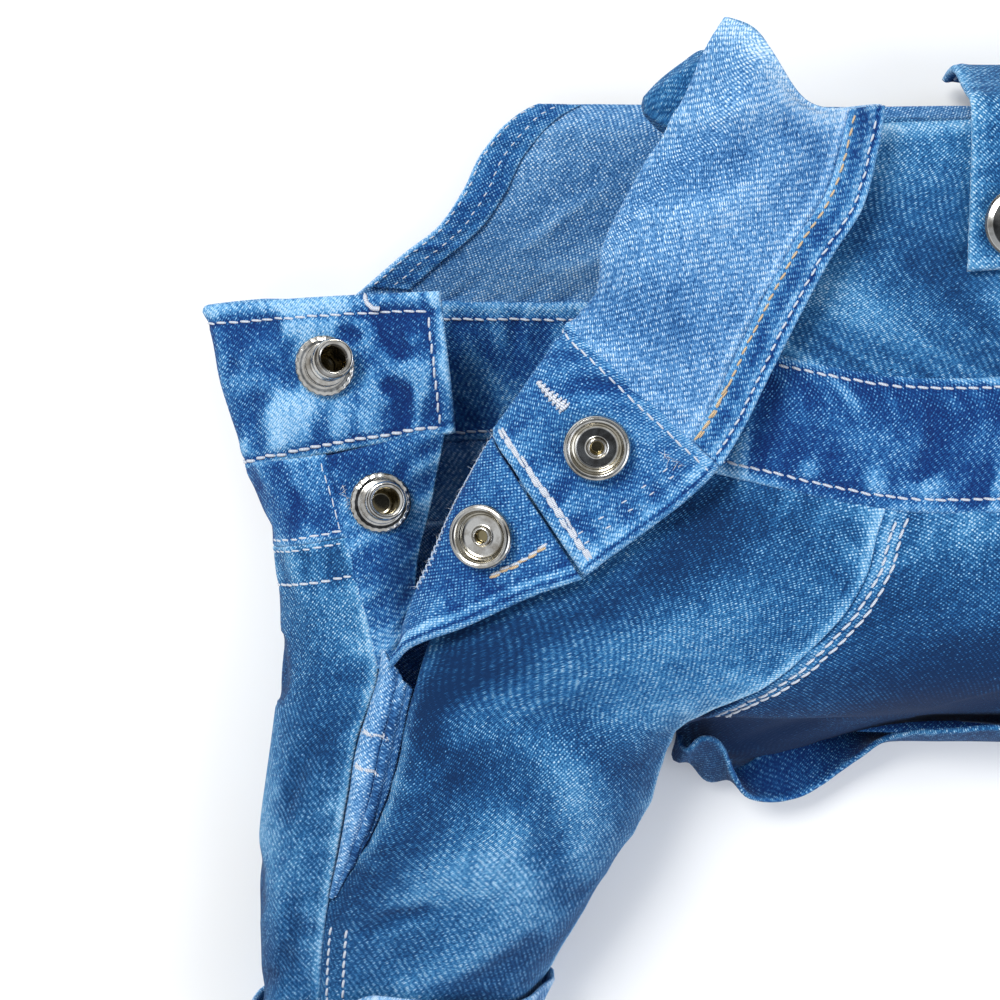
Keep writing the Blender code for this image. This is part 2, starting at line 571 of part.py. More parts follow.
def front_pieces():
    """Front waistband, bib, leg panels, the turned-back placket and the facing on its inside."""
    band = sheet_grid(front_line, np.linspace(0.5, WAISTBAND_HEIGHT - 0.3, 5), 70)
    add_cloth("front_waistband", puckered(band, PUCKER_DEPTH, PUCKER_PITCH), BAND_WALL, dark)
    bib_levels = levels_between(FRONT, WAISTBAND_HEIGHT + 0.5, 114, 1)
    add_cloth("front_bib", sheet_grid(front_line, bib_levels, 31), WALL, outer)
    strip = sheet_grid(front_line, bib_levels, 4, FACING_WIDTH, 0.5, from_end=True)
    up = np.sign(grid_normals(strip)[4, 1, 2])
    strip = raised(strip, np.full(strip.shape[:2], up * SKIN_STAND))
    add_cloth("front_facing_right", strip, SKIN_WALL, dark)
    leg = sheet_grid(leg_front_line, levels_between(LEG_FRONT, -0.4, -146, 1), 16)
    add_cloth("front_leg_right", leg, WALL, outer)
    leg = sheet_grid(left_front_line, levels_between(LEFT_FRONT, -0.4, -70, 1), 17)
    add_cloth("front_leg_left", leg, WALL, outer)
    placket = sheet_grid(placket_line, levels_between(FRONT_PLACKET, 0, 50, 1), 18)
    add_cloth("front_placket_right", placket, WALL, dark)


def side_strip():
    """The double-folded lap in the groove between the back's seam edge and the front's ridge."""
    grid = []
    for level in np.linspace(STRIP_TOP, STRIP_FOOT, 11):
        seam = back_line(BACK, level)[0]
        edge = leg_front_line(level)[-1]
        width = np.linalg.norm(edge - seam)
        start, end = mix(seam, edge, 1.3 / width), mix(edge, seam, 1.3 / width)
        calm = min(1.0, width / 9.0)
        grid.append([mix(start, end, point.share) + np.array([0, 0, point.rise * calm])
                     for point in SIDE_STRIP])
    add_cloth("side_strip_right", np.array(grid), SKIN_WALL, reverse)


def cuffs():
    """Turned-up cuff round each hem."""
    rings = []
    for level in np.linspace(CUFF_TOP - CUFF_HEIGHT, CUFF_TOP, 4):
        ring = np.concatenate([leg_front_line(level), back_line(BACK, level)])
        ring = np.concatenate([ring, ring[:1]])
        ring = spaced(ring, 0, length_of(ring), CUFF_COLUMNS + 1)[:-1]
        along = np.roll(ring, -2, axis=0) - np.roll(ring, 2, axis=0)
        out = np.stack([along[:, 2], np.zeros(len(ring)), -along[:, 0]], axis=1)
        out /= np.linalg.norm(out, axis=1, keepdims=True)
        out *= np.sign(np.sum(out * (ring - ring.mean(axis=0))))
        share = np.clip((CUFF_SKEW_FROM - ring[:, 0]) / CUFF_SKEW_OVER, 0, 1)
        ring[:, 1] -= CUFF_SKEW * share * share * (3 - 2 * share)
        rings.append(ring + out * CUFF_STAND)
    grid = np.array(rings)
    grid[:, :, 2] = np.maximum(grid[:, :, 2], FLOOR_Z)
    add_cloth("cuff_right", grid, WALL, reverse, closed=True)
    rows = np.array(LEFT_CUFF, float)
    wanted = levels_between(LEFT_CUFF, rows[0, 0], rows[-1, 0], 1)
    path = hermite(rows[:, 0], rows, wanted)
    grid = []
    for share in (0.0, 0.33, 0.67, 1.0):
        fold = path[:, 1:4]
        rim = path[:, 4:7]
        bow = np.array(CUFF_SLACK) * 4 * share * (1 - share)
        grid.append(mix(fold, rim, share) + bow)
    grid = np.array(grid)
    grid[:, :, 2] = np.maximum(grid[:, :, 2], FLOOR_Z)
    add_cloth("cuff_left", grid, WALL, reverse, closed=True)


def bib_fold():
    """The folded-under top of the bib with its layers inside: an oval loft along X."""
    rows = np.array(BIB_FOLD, float)
    sections = np.unique(np.concatenate([np.linspace(a, b, 3) for a, b in zip(rows[:, 0], rows[1:, 0])]))
    around = np.linspace(0, 2 * np.pi, 17)[:-1]
    flat = 0.8
    mesh = bpy.data.meshes.new("front_bib_fold")
    shell = bmesh.new()
    rings = []
    for x, middle, depth, low, high in hermite(rows[:, 0], rows, sections):
        y = middle + depth / 2 * np.sign(np.cos(around)) * np.abs(np.cos(around)) ** flat
        z = mix(low, high, 0.5) + (high - low) / 2 * np.sign(np.sin(around)) * np.abs(np.sin(around)) ** flat
        rings.append([shell.verts.new(Vector((x, b, c)) * MM) for b, c in zip(y, z)])
    for a, b in zip(rings, rings[1:]):
        for k in range(len(around)):
            n = (k + 1) % len(around)
            shell.faces.new((a[k], a[n], b[n], b[k]))
    shell.faces.new(rings[0][::-1])
    shell.faces.new(rings[-1])
    bmesh.ops.recalc_face_normals(shell, faces=shell.faces)
    shell.to_mesh(mesh)
    shell.free()
    add_object("front_bib_fold", mesh, outer)


def strap_line(x):
    """Path of a strap at one X: up the bib's outer side, over its folded top and down behind it."""
    points = []
    for level in np.linspace(58, 112, 8):
        line = front_line(level)
        outer_side = line[:np.argmin(line[:, 0])][::-1]
        y = np.interp(x, outer_side[:, 0], outer_side[:, 1])
        z = np.interp(x, outer_side[:, 0], outer_side[:, 2])
        points.append((x, y, z + STRAP_STAND))
    top = points[-1]
    points.append((x, top[1] + 4.5, top[2] - 2.2))
    points.append((x, top[1] + 7.5, top[2] - 9.0))
    points.append((x, STRAP_FOOT_Y + 2.5, 13.0))
    points.append((x, STRAP_FOOT_Y, 6.0))
    return smooth_line(points, 6)


def straps():
    """Two shoulder straps that come over the bib's folded top from the back."""
    for name, middle in STRAPS:
        edges = np.linspace(middle - STRAP_WIDTH / 2, middle + STRAP_WIDTH / 2, 4)
        columns = [spaced(strap_line(x), 0, length_of(strap_line(x)), 22) for x in edges]
        add_cloth(name, np.array(columns), BAND_WALL, outer)
        below, spot, above = spaced(strap_line(middle), *STRAP_CAP_SPAN, 3)
        beside = [spaced(strap_line(x), *STRAP_CAP_SPAN, 3)[1] for x in edges[[0, -1]]]
        rise = np.cross(beside[1] - beside[0], above - below)
        axis = rise / np.linalg.norm(rise)
        add_turned("snap_cap_" + name, CAP, spot + axis * (BAND_WALL / 2 + CAP_SEAT), axis, metal)


def surface_spot(section, level, distance):
    """Place and upward normal on a piece of cloth, at a level and a distance from its section's start.
    A distance below nought is measured from the section's last point."""
    step = 1.5
    if distance < 0:
        distance += length_of(section(level))
    grid = np.array([spaced(section(at), distance - step, distance + step, 3)
                     for at in (level - step, level, level + step)])
    normal = grid_normals(grid)[1, 1]
    normal = normal if normal[2] > 0 else -normal
    return grid[1, 1], normal


def snaps():
    """Two studs on the underlap, two sockets on the turned-back front, caps on the closed side."""
    pairs = (
        ("stud_upper", STUD, back_band_line, 19.0, 28.5, BAND_WALL, 0.7, (0.04, 0.04)),
        ("stud_lower", STUD, underlap_line, 10.0, 8.4, WALL, 0.5, (0.03, 0.0)),
        ("socket_upper", SOCKET, front_line, 18.0, -22.8, BAND_WALL, 0.8, (0, 0)),
        ("socket_lower", SOCKET, placket_line, 14.8, -17.6, WALL, 0.6, (0, 0)),
    )
    for name, profile, section, level, distance, wall, seat, lean in pairs:
        spot, normal = surface_spot(section, level, distance)
        lift = wall / 2 + seat
        foot = profile[-1].radius
        lift += foot * float(np.hypot(*lean)) * 1.1
        axis = normal + np.array([lean[0], lean[1], 0])
        add_turned("snap_" + name, profile, spot + normal * lift, axis, metal)
    for name, section, level, distance, wall in (
        ("snap_cap_upper", front_line, 16.0, 16.0, BAND_WALL),
        ("snap_cap_lower", left_front_line, -16.0, -14.0, WALL),
    ):
        spot, normal = surface_spot(section, level, distance)
        add_turned(name, CAP, spot + normal * (wall / 2 + CAP_SEAT), normal, metal)


garment = bpy.data.collections.new("shortalls")
bpy.context.scene.collection.children.link(garment)
clear_scene()
outer = material("washed_denim", DENIM_OUTER, 0.9)
reverse = material("denim_reverse", DENIM_REVERSE, 0.92)
dark = material("gathered_denim", DENIM_DARK, 0.9)
metal = material("nickel_plated_brass", NICKEL, 0.28, 1.0)
back_pieces()
front_pieces()
side_strip()
cuffs()
bib_fold()
straps()
snaps()
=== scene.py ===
# %% [markdown]
# # Child's denim shortalls, laid down with one side unsnapped
#
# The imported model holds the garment's solid pieces. This lesson dresses each of them: every panel of cloth
# becomes a fine shell on the same form, with the puckers, creases, seams and rolled edges that sewing and
# washing give denim, and then the threads and the nickel snaps go on.

import math
from collections import namedtuple
from functools import partial
from types import SimpleNamespace

import bmesh
import bpy
import numpy as np
from mathutils import Matrix, Vector


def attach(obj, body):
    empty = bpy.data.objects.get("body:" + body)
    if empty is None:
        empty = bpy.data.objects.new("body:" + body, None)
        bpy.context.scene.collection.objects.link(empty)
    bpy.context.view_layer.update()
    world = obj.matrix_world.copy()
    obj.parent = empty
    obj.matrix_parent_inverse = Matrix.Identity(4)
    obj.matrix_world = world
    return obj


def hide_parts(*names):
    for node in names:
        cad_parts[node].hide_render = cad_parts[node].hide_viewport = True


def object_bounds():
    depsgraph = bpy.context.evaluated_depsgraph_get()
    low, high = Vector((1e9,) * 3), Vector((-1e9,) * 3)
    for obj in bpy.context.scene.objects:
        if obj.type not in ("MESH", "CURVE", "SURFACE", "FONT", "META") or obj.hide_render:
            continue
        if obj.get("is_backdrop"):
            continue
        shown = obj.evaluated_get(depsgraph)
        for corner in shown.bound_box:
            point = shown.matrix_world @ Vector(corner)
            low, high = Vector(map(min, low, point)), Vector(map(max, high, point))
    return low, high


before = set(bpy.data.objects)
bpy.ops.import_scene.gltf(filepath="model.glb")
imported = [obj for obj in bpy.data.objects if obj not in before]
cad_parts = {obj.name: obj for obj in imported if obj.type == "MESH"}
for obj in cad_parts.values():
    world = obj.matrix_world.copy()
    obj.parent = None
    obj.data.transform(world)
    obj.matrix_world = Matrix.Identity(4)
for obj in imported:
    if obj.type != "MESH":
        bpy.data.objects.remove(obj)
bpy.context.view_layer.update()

# %% [markdown]
# ## Camera
#
# The garment lies on its back and is seen from above its bib, tilted a little, at about arm's length. The
# camera stands on the line through one spot of the cloth, 400 mm away, and its angle is chosen so that a
# millimetre of cloth at that spot is 4.2 pixels of a picture 1000 pixels wide.

# %% Camera
MM = 0.001
CAMERA_TILT = math.radians(14)
CAMERA_DISTANCE = 0.400
CAMERA_SPOT = Vector((-0.0886, 0.0, 0.024))
PIXELS_PER_MM = 4.2
PICTURE = 1000

looking = Vector((0, -math.sin(CAMERA_TILT), -math.cos(CAMERA_TILT)))
upward = Vector((0, math.cos(CAMERA_TILT), -math.sin(CAMERA_TILT)))
place = CAMERA_SPOT - looking * CAMERA_DISTANCE
lens = bpy.data.cameras.new("camera")
lens.angle = 2 * math.atan(PICTURE / 2 / (PIXELS_PER_MM * CAMERA_DISTANCE / MM))
lens.clip_start = 0.01
camera = bpy.data.objects.new("camera", lens)
turned = Matrix((Vector((1, 0, 0)), upward, -looking)).transposed().to_4x4()
camera.matrix_world = Matrix.Translation(place) @ turned
bpy.context.scene.collection.objects.link(camera)
bpy.context.scene.camera = camera
print("camera angle:", round(math.degrees(lens.angle), 2), "degrees")

# %% [markdown]
# ## Floor and light
#
# A plain pale sheet and a large soft window above the left shoulder, with a weaker one from the right, let
# the puckers throw short soft shadows. The window is kept smaller than the sky so that the threads and the
# metal still get a clear bright side.

# %% Floor, sky and lamps
def srgb(code):
    """The linear colour of an sRGB hex value such as 4E83C4."""
    parts = [int(code[i:i + 2], 16) / 255 for i in (0, 2, 4)]
    return tuple(p / 12.92 if p <= 0.04045 else ((p + 0.055) / 1.055) ** 2.4 for p in parts) + (1.0,)


def add(tree, kind, *values, out=0, inputs=None, **settings):
    """One output of a new node with these settings. Its inputs are given in order or by name, as values or as
    outputs to link from."""
    node = tree.nodes.new("ShaderNode" + kind)
    for key, value in settings.items():
        setattr(node, key, value)
    for key, value in [*enumerate(values), *(inputs or {}).items()]:
        if isinstance(value, bpy.types.NodeSocket):
            tree.links.new(value, node.inputs[key])
        else:
            node.inputs[key].default_value = value
    return node.outputs[out]


def coloured(output, stops):
    """Set the ramp that this output belongs to, from stops of (place, hex)."""
    ramp = output.node.color_ramp
    for element, (place, code) in zip(list(ramp.elements), (stops[0], stops[-1])):
        element.position = place
        element.color = srgb(code)
    for place, code in stops[1:-1]:
        ramp.elements.new(place).color = srgb(code)
    return output


def lamp(name, spot, size, power, colour):
    light = bpy.data.lights.new(name, "AREA")
    light.size = size
    light.energy = power
    light.color = srgb(colour)[:3]
    thing = bpy.data.objects.new(name, light)
    thing.location = spot
    thing.rotation_euler = (Vector((-0.03, 0, 0)) - thing.location).to_track_quat("-Z", "Y").to_euler()
    bpy.context.scene.collection.objects.link(thing)


def make_floor(size=3.0):
    mesh = bpy.data.meshes.new("floor")
    half = size / 2
    mesh.from_pydata([(-half, -half, 0), (half, -half, 0), (half, half, 0), (-half, half, 0)], [],
                     [(0, 1, 2, 3)])
    paper = bpy.data.materials.new("white_paper_matte")
    paper.use_nodes = True
    shader = paper.node_tree.nodes["Principled BSDF"]
    shader.inputs["Base Color"].default_value = srgb("F4F5F6")
    shader.inputs["Roughness"].default_value = 0.9
    mesh.materials.append(paper)
    thing = bpy.data.objects.new("floor", mesh)
    thing.location.z = -0.0005
    bpy.context.scene.collection.objects.link(thing)
    thing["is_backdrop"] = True


make_floor()
sky = bpy.data.worlds.new("sky")
sky.use_nodes = True
ROOM = ((0.0, "2C2B2C"), (0.16, "6C6863"), (0.34, "C9CDD4"), (0.5, "FFFFFF"), (0.8, "F4F7FC"),
        (0.93, "8D949E"), (0.975, "2A2E34"))
tree = sky.node_tree
way_up = add(tree, "SeparateXYZ", add(tree, "TexCoord", out="Generated"), out="Z")
tree.links.new(coloured(add(tree, "ValToRGB", way_up), ROOM), tree.nodes["Background"].inputs["Color"])
tree.nodes["Background"].inputs["Strength"].default_value = 0.85
bpy.context.scene.world = sky
lamp("window", (-0.45, 0.55, 0.75), 0.35, 9.0, "FFFDF8")
lamp("room", (0.55, -0.25, 0.55), 0.6, 3.0, "EEF3FF")
bpy.context.scene.view_settings.view_transform = "Standard"

# %% [markdown]
# ## The garment's own sizes
#
# A pattern cutter thinks of a panel as sections across it, one under the other. Each table below holds one
# panel that way: a row is a section, and its columns are the places that the cloth passes through, in
# millimetres. They are the same sizes that the solids were made from, so the shells fit them with no
# fitting. A denser list of points could be read from the solids instead, but then no seam, stitch or crease
# could say where it is on the cloth.

# %% Tables of sections
WALL = 1.6               # one layer of denim with its turned seam allowance
BAND_WALL = 2.2          # waistband, two layers
SEAM_GAP = 0.35          # clear space between two pieces at a seam
FLOOR_Z = WALL / 2       # middle of a wall that lies on the floor
WAISTBAND_HEIGHT = 32.0
CUFF_HEIGHT = 21.0
CUFF_TOP = -124.5        # level of the right cuff's free edge
CUFF_SLACK = (0, -2, -1)   # how far the left cuff bows out between its fold and its rim
CUFF_STAND = 2.7         # how far a cuff stands off the leg
CUFF_SKEW = 6.0          # how much lower the right cuff hangs at its outer side
CUFF_SKEW_FROM = -118.0  # X where that begins, and over how much it grows
CUFF_SKEW_OVER = 14.0
INSEAM_GAP = 3.2         # between the front and back walls where they meet at an angle
STRAP_WIDTH = 22.0
STRAP_STAND = 2.5        # middle of a strap's wall above the bib's
STRAP_FOOT_Y = 97.0      # where the straps meet the back bib's folded top
STRAPS = (("strap_right", 26), ("strap_left", 56))   # each strap's middle line
STRIP_TOP = -51.0        # levels of the side strip's ends
STRIP_FOOT = -99.0


class Table:
    """Sections of a panel, one a row, in the order of the first column. A starred column is a place: its X,
    Y and Z."""

    def __init__(self, columns, rows):
        self.columns, self.rows = columns.split(), np.array(sorted(rows), float)

    def at(self, level):
        """The section at any level between the rows, with its columns by name."""
        values = iter(hermite(self.rows[:, 0], self.rows, level)[0])
        return SimpleNamespace(**{name.strip("*"): np.array([next(values) for _ in "xyz"]) if "*" in name
                                  else next(values) for name in self.columns})


# Front waistband and bib. level: height above the waist seam. centre: on the centre front line. tip: the
# outermost line of the loose fold where the unsnapped side is turned back. roll: radius of that fold.
# edge: the free edge of the turned-back part. sag: how far its middle drops. side: the closed side's edge.
# dip: how far the layer under the turned-back part lies below the line of the fold.
FRONT = Table("level centre_y centre_z tip* roll edge* sag side* dip", [
    (0, 1.5, 40, -89.7, 18.3, 38, 6, -69.5, -12.1, 47.5, 0, 132, 10, 30.5, 0),
    (32, 32, 38, -72.6, 44.1, 40, 6, -39.9, 13.3, 47, 0, 126, 42, 31, 0),
    (42, 42, 37, -66.7, 52.6, 40, 6, -34.7, 22.3, 46.5, 0, 108, 50, 31, 0),
    (52, 51, 36, -65.5, 60.7, 40, 6, -28.6, 35.3, 45.5, 0, 95, 58, 29, 0),
    (72, 66, 35, -58.3, 77, 42, 5.5, -17, 59.1, 44, 0, 78, 71, 27, 0),
    (88, 76, 34, -50.5, 88.7, 44, 5, -10.3, 70.4, 43, 0, 70, 80, 27, -2),
    (104, 84, 33, -45, 103, 48, 4.5, -7.5, 84, 42, -2, 64, 87, 27, -9),
    (114, 88, 32, -41.6, 109.6, 51, 4, -6.5, 92, 41, -8, 60, 91, 26, -12),
])

# Right leg front panel. inner: rise seam, then inseam. crown: highest line. ridge: where the panel rolls
# down into the side opening. drop: how far its edge hangs below the ridge, run: how far it moves out.
LEG_FRONT = Table("level inner* crown* ridge* run drop", [
    (0, -0.6, 1.1, 40, -38, 7.4, 41, -64, 12, 38.5, 10.5, 2),
    (-18, -6.5, -15.6, 44, -46, -12, 43.5, -80, -6, 39, 10, 3),
    (-30, -13.4, -25, 46, -56, -24, 45, -91, -19, 39.5, 8, 3),
    (-40, -26, -37.6, 45, -64, -35, 46.5, -99, -30, 40.5, 6, 3),
    (-50, -42.6, -47.5, 40, -70, -46, 47.5, -106, -43, 43, 3, 4),
    (-64, -47.5, -60, 28, -74, -60, 48, -109.5, -57, 44.5, 2.5, 4.5),
    (-80, -52, -80, 20, -80, -76, 47, -113, -70, 44.5, 2.5, 4.5),
    (-96, -60, -96, 18, -86, -92, 46, -119, -84, 42.5, 2.5, 4),
    (-110, -68, -111, 17, -94, -106, 45, -127.5, -100, 38.5, 2.2, 2),
    (-122, -76, -126, 17, -102, -118, 43, -130.5, -117, 36, 1.6, 1.2),
    (-146, -86, -149, 17, -107, -142, 41, -130.5, -146, 35, 1.6, 1.2),
])

# Right half of the back, from the waist seam to the hem. seam: side seam, on the upper side because the
# back wraps round. tip: outermost line of the wrap. inner: centre back seam, then inseam. floor: height of
# the middle of the wall where it lies down, raised at the hem where the cuff is under it.
BACK_COLUMNS = "level seam* tip* inner* floor"
BACK = Table(BACK_COLUMNS, [
    (0, -129, 9, 25.5, -149.4, 4.5, 14, 0, 10.4, 0.8, 0.8),
    (-18, -124.4, -7.5, 29, -143.2, -13.3, 16, 0, -8, 0.8, 0.8),
    (-30, -121.5, -20, 31, -142.2, -25, 17, 0, -22, 0.8, 0.8),
    (-40, -119, -30, 32, -142, -34, 18, -4, -34, 0.8, 0.8),
    (-50, -117.6, -40, 34, -142.3, -45, 18.5, -24, -47, 3, 0.8),
    (-64, -122.5, -55, 36.5, -144.2, -58, 19.5, -47.5, -60, 28, 0.8),
    (-80, -125.2, -70, 37.5, -146.6, -74, 20, -52, -80, 20, 0.8),
    (-96, -128, -85, 37, -148.6, -89, 20, -60, -96, 18, 0.9),
    (-110, -131.2, -101.2, 36, -149.8, -106, 20, -68, -111, 17, 2.4),
    (-122, -133.2, -117.6, 34.2, -149.9, -125, 20, -76, -126, 17, 3.9),
    (-146, -133.2, -146.6, 33.2, -149.6, -152, 20, -86, -149, 17, 3.9),
])

# Back waistband and bib, both sides alike. end: the underlap's end, or the bib's armhole edge.
BACK_BAND = Table("level end* tip* centre_y", [
    (0, 99, 16.3, 24, 149.2, 5.2, 14, 11),
    (11, 99.8, 27, 25, 152.6, 18.5, 15, 22),
    (22, 101, 38.5, 25, 155.8, 32, 15, 33),
    (34, 102.4, 50.4, 24, 158, 46, 14, 45),
])
BACK_BIB = Table("level edge* middle_y lift", [
    (0, 121, 48.5, 2, 45.6, 1),
    (6, 113, 55.5, 4.5, 53, 3.6),
    (14, 104, 62.5, 6.4, 62, 5.6),
    (24, 97.5, 71.5, 7, 71, 6.5),
    (34, 92.5, 81, 7, 80, 7),
    (42, 85, 88.5, 7, 87, 6.5),
    (46, 78, 91.5, 4.5, 91, 4.2),
])

# Front placket, the turned-back edge of the leg below the waistband. root: where it starts under the fold.
FRONT_PLACKET = Table("level root* tip* roll edge*", [
    (0, -78, 15, 31.5, -89.9, 17.8, 37.6, 6, -69.9, -12.7, 47.2),
    (15, -86, 4, 32, -97.5, 4, 37, 5.5, -82, -17.5, 46.2),
    (30, -93, -8, 32, -103, -8, 37, 5, -97, -25, 45.2),
    (42, -99, -17, 33, -107.5, -18.5, 37.5, 4, -109.5, -30.5, 44),
    (50, -103, -24.5, 34.5, -110, -26, 38, 2.8, -114.5, -36, 42.6),
])

# Underlap placket below the back waistband, which carries the lower stud.
UNDERLAP = Table("level seam* edge*", [
    (0, -127.9, 9.7, 25.8, -101.5, 16.1, 24.2),
    (14, -124, -4.5, 28.6, -105.5, -3, 24.5),
    (26, -121.4, -17, 31, -108.2, -14, 26),
    (38, -118.8, -28.5, 32.2, -109.6, -26, 28.5),
    (48, -117, -39, 33.6, -114.4, -37.5, 33),
])

# Left leg. inner: rise seam, then its short inseam. crown and side as on the right leg.
LEFT_FRONT = Table("level inner* crown* side*", [
    (0, 0, 1.1, 40, 60, 6, 41, 132, 9.4, 27),
    (-18, -5.8, -15.6, 44, 58, -12, 44, 128, -8, 30),
    (-30, -12.6, -25, 46, 54, -25, 45, 124, -20, 32),
    (-40, -25.2, -37.8, 45, 46, -37, 43, 121, -32, 33),
    (-50, -39, -48.6, 38, 30, -47, 35, 122, -42, 31),
    (-60, -36.6, -54, 26, 20, -54.5, 22, 125, -51, 24),
    (-70, -33.5, -71, 9.5, 11, -62.1, 10, 127, -63, 14),
])
LEFT_BACK = Table(BACK_COLUMNS, [
    (0, 129, 9, 25, 149.4, 4.5, 14, 0, 10.4, 0.8, 0.8),
    (-18, 124.4, -7.5, 26, 147.2, -13.3, 14, 0, -8, 0.8, 0.8),
    (-30, 121.5, -20, 27, 147.2, -24, 15, 0.8, -22, 0.8, 0.8),
    (-40, 121, -30, 28, 147, -33, 15, -3.2, -34, 0.8, 0.8),
    (-50, 123.5, -40.2, 29, 147, -42, 14, -20, -51.5, 2.8, 1.6),
    (-60, 126.6, -49.6, 22.4, 146.6, -51, 12.5, -30, -57.5, 9, 3.9),
    (-70, 128.5, -63, 12.6, 146.6, -63.5, 9, -35, -64, 8, 3.9),
])

# Left cuff, round the leg: fold is its lower line, rim its free upper edge, which falls open at the front.
LEFT_CUFF = Table("around fold* rim*", [
    (0, -34, -66, 0.8, -34, -56, 0.8),
    (7, -42, -68.5, 4.5, -42.5, -62.5, 9),
    (12, -44, -71, 11, -43, -62, 27),
    (16, -40, -72, 11, -40, -58, 30.5),
    (21, -35, -78.5, 8, -35, -60, 27),
    (29, -25, -75.5, 5, -27, -78, 16.5),
    (41, -13, -66.5, 3.5, -12, -82, 11.5),
    (51, -4, -66, 4, -2, -74.5, 12.5),
    (61, 6, -67, 4.5, 8, -62, 20),
    (75, 24, -67.5, 5, 24, -57, 27),
    (115, 66, -68.5, 6, 66, -56, 30),
    (155, 110, -69.5, 7, 110, -56.5, 31),
    (182, 138, -70, 9, 138, -57, 28),
    (200, 154, -70, 7, 155, -58, 12),
    (214, 142, -69, 0.8, 142, -58, 0.8),
    (256, 100, -68, 0.8, 100, -58, 0.8),
    (316, 40, -67, 0.8, 40, -58, 0.8),
    (368, -12, -66.5, 0.8, -12, -58, 0.8),
])

# Side strip that shows in the groove between the back's seam edge and the front's ridge, across its width:
# (share of the width, rise).
SIDE_STRIP = ((0, 0.6), (0.22, 1.6), (0.42, 0.9), (0.52, -0.3), (0.68, 0.7), (0.84, -0.5), (1, -0.2))

# Bib top, folded back under itself with the strap ends inside it: one rounded solid. Sections along X.
BIB_FOLD = Table("x middle_y depth low_z high_z", [
    (-57, 91.5, 3, 25, 29),
    (-54, 91.5, 9, 20, 31),
    (-48, 91.5, 18, 16, 33),
    (-43.5, 89, 28, 11, 34),
    (-36, 81, 34, 9.2, 30),
    (-20, 74, 34, 8.3, 29),
    (10, 72, 32, 8.3, 27),
    (40, 74, 32, 8.3, 24),
    (62, 77, 26, 9.5, 22),
    (70, 78, 12, 12, 19),
])

# %% [markdown]
# ## Smooth lines through the sections
#
# On the real garment each panel is one flat piece that bends only where its seams pull it, so a section is
# a smooth line through its few named places. A curve object would need sampling in any case, so a cubic
# through the places is worked out in code, and the grid of cloth is read from it.

# %% Smooth lines
def hermite(at, values, x):
    """Smooth curve through values, whose first axis runs along at."""
    at, values = np.asarray(at, float), np.asarray(values, float)
    slopes = np.gradient(values, at, axis=0)
    x = np.clip(np.atleast_1d(x), at[0], at[-1])
    k = np.clip(np.searchsorted(at, x, side="right") - 1, 0, len(at) - 2)
    width = (at[k + 1] - at[k])[:, None]
    s = (x - at[k])[:, None] / width
    return ((1 + 2 * s) * (1 - s) ** 2 * values[k] + s * (1 - s) ** 2 * width * slopes[k]
            + s * s * (3 - 2 * s) * values[k + 1] + s * s * (s - 1) * width * slopes[k + 1])


def distances(line):
    """How far each point of a line lies from its start, along the line."""
    return np.concatenate([[0.0], np.cumsum(np.linalg.norm(np.diff(line, axis=0), axis=1))])


def read_at(wanted, at, values):
    """The columns of values, which are known at the places at, read at the wanted places."""
    return np.stack([np.interp(wanted, at, column) for column in np.transpose(values)], axis=-1)


def smooth_line(stations, per_span=14):
    """A dense smooth line through the stations of one section."""
    at = distances(stations)
    dense = np.unique(np.concatenate([np.linspace(*span, per_span) for span in zip(at, at[1:])]))
    return hermite(at, stations, dense)


def spaced(line, count):
    """count points along the line at equal steps."""
    return read_at(np.linspace(0, length_of(line), count), distances(line), line)


def length_of(line):
    return float(np.linalg.norm(np.diff(line, axis=0), axis=1).sum())


def mix(a, b, share):
    return a + (b - a) * share


def ramp(value):
    """0 to 1, held at both ends."""
    return np.clip(value, 0, 1)


def eased(value):
    value = ramp(value)
    return value * value * (3 - 2 * value)


# %% [markdown]
# ## Sections of every panel
#
# A cutter's pattern is flat, and sewing and lying give it its form. Each function below gives one panel's
# section at a level, through the named places of its table and a few between them that hold the cloth's
# roundness. The functions can be asked for any level, which a grid of ready points could not be.

# %% Sections
FOLD_REACH = 1.3         # how far a loose fold's two layers stand back from its tip, in rolls


def fold_stations(row, root_way):
    """Stations of a loose fold: below it, its tip, above it, and on to the free edge."""
    way = (row.edge - row.tip)[:2]
    way = way / np.linalg.norm(way)
    below, above = (row.tip + np.array([x * row.roll * FOLD_REACH, y * row.roll * FOLD_REACH, up * row.roll])
                    for (x, y), up in ((root_way, -1), (way, 1)))
    return below, row.tip, above, row.edge


def front_line(level):
    """Section of the front waistband and bib, from the closed side to the turned-back edge."""
    r = FRONT.at(level)
    centre = np.array([0, r.centre_y, r.centre_z])
    below, tip, above, edge = fold_stations(r, (1.0, -0.25))
    return smooth_line([r.side, mix(centre, r.side, 0.62) + (0, 0, 3.5), centre,
                        mix(centre, below, 0.55) + (0, 1 + r.dip, 1), below, tip, above,
                        mix(above, edge, 0.45) + (0, r.sag, 1.2), edge])


def over_front(x, level):
    """Y and Z of the front's outer layer at any X."""
    line = front_line(level)
    outer = line[:np.argmin(line[:, 0])][::-1]
    return read_at(x, outer[:, 0], outer[:, 1:])


def under_waistband(line, level, reach=14.0):
    """Bend the top of a leg panel's section to the waistband's lower edge, fading out over reach."""
    if level <= -reach:
        return line
    bent = line.copy()
    seam = over_front(line[:, 0], 0) + (level - SEAM_GAP, 0)
    bent[:, 1:] = mix(line[:, 1:], seam, eased(1 + level / reach))
    return bent


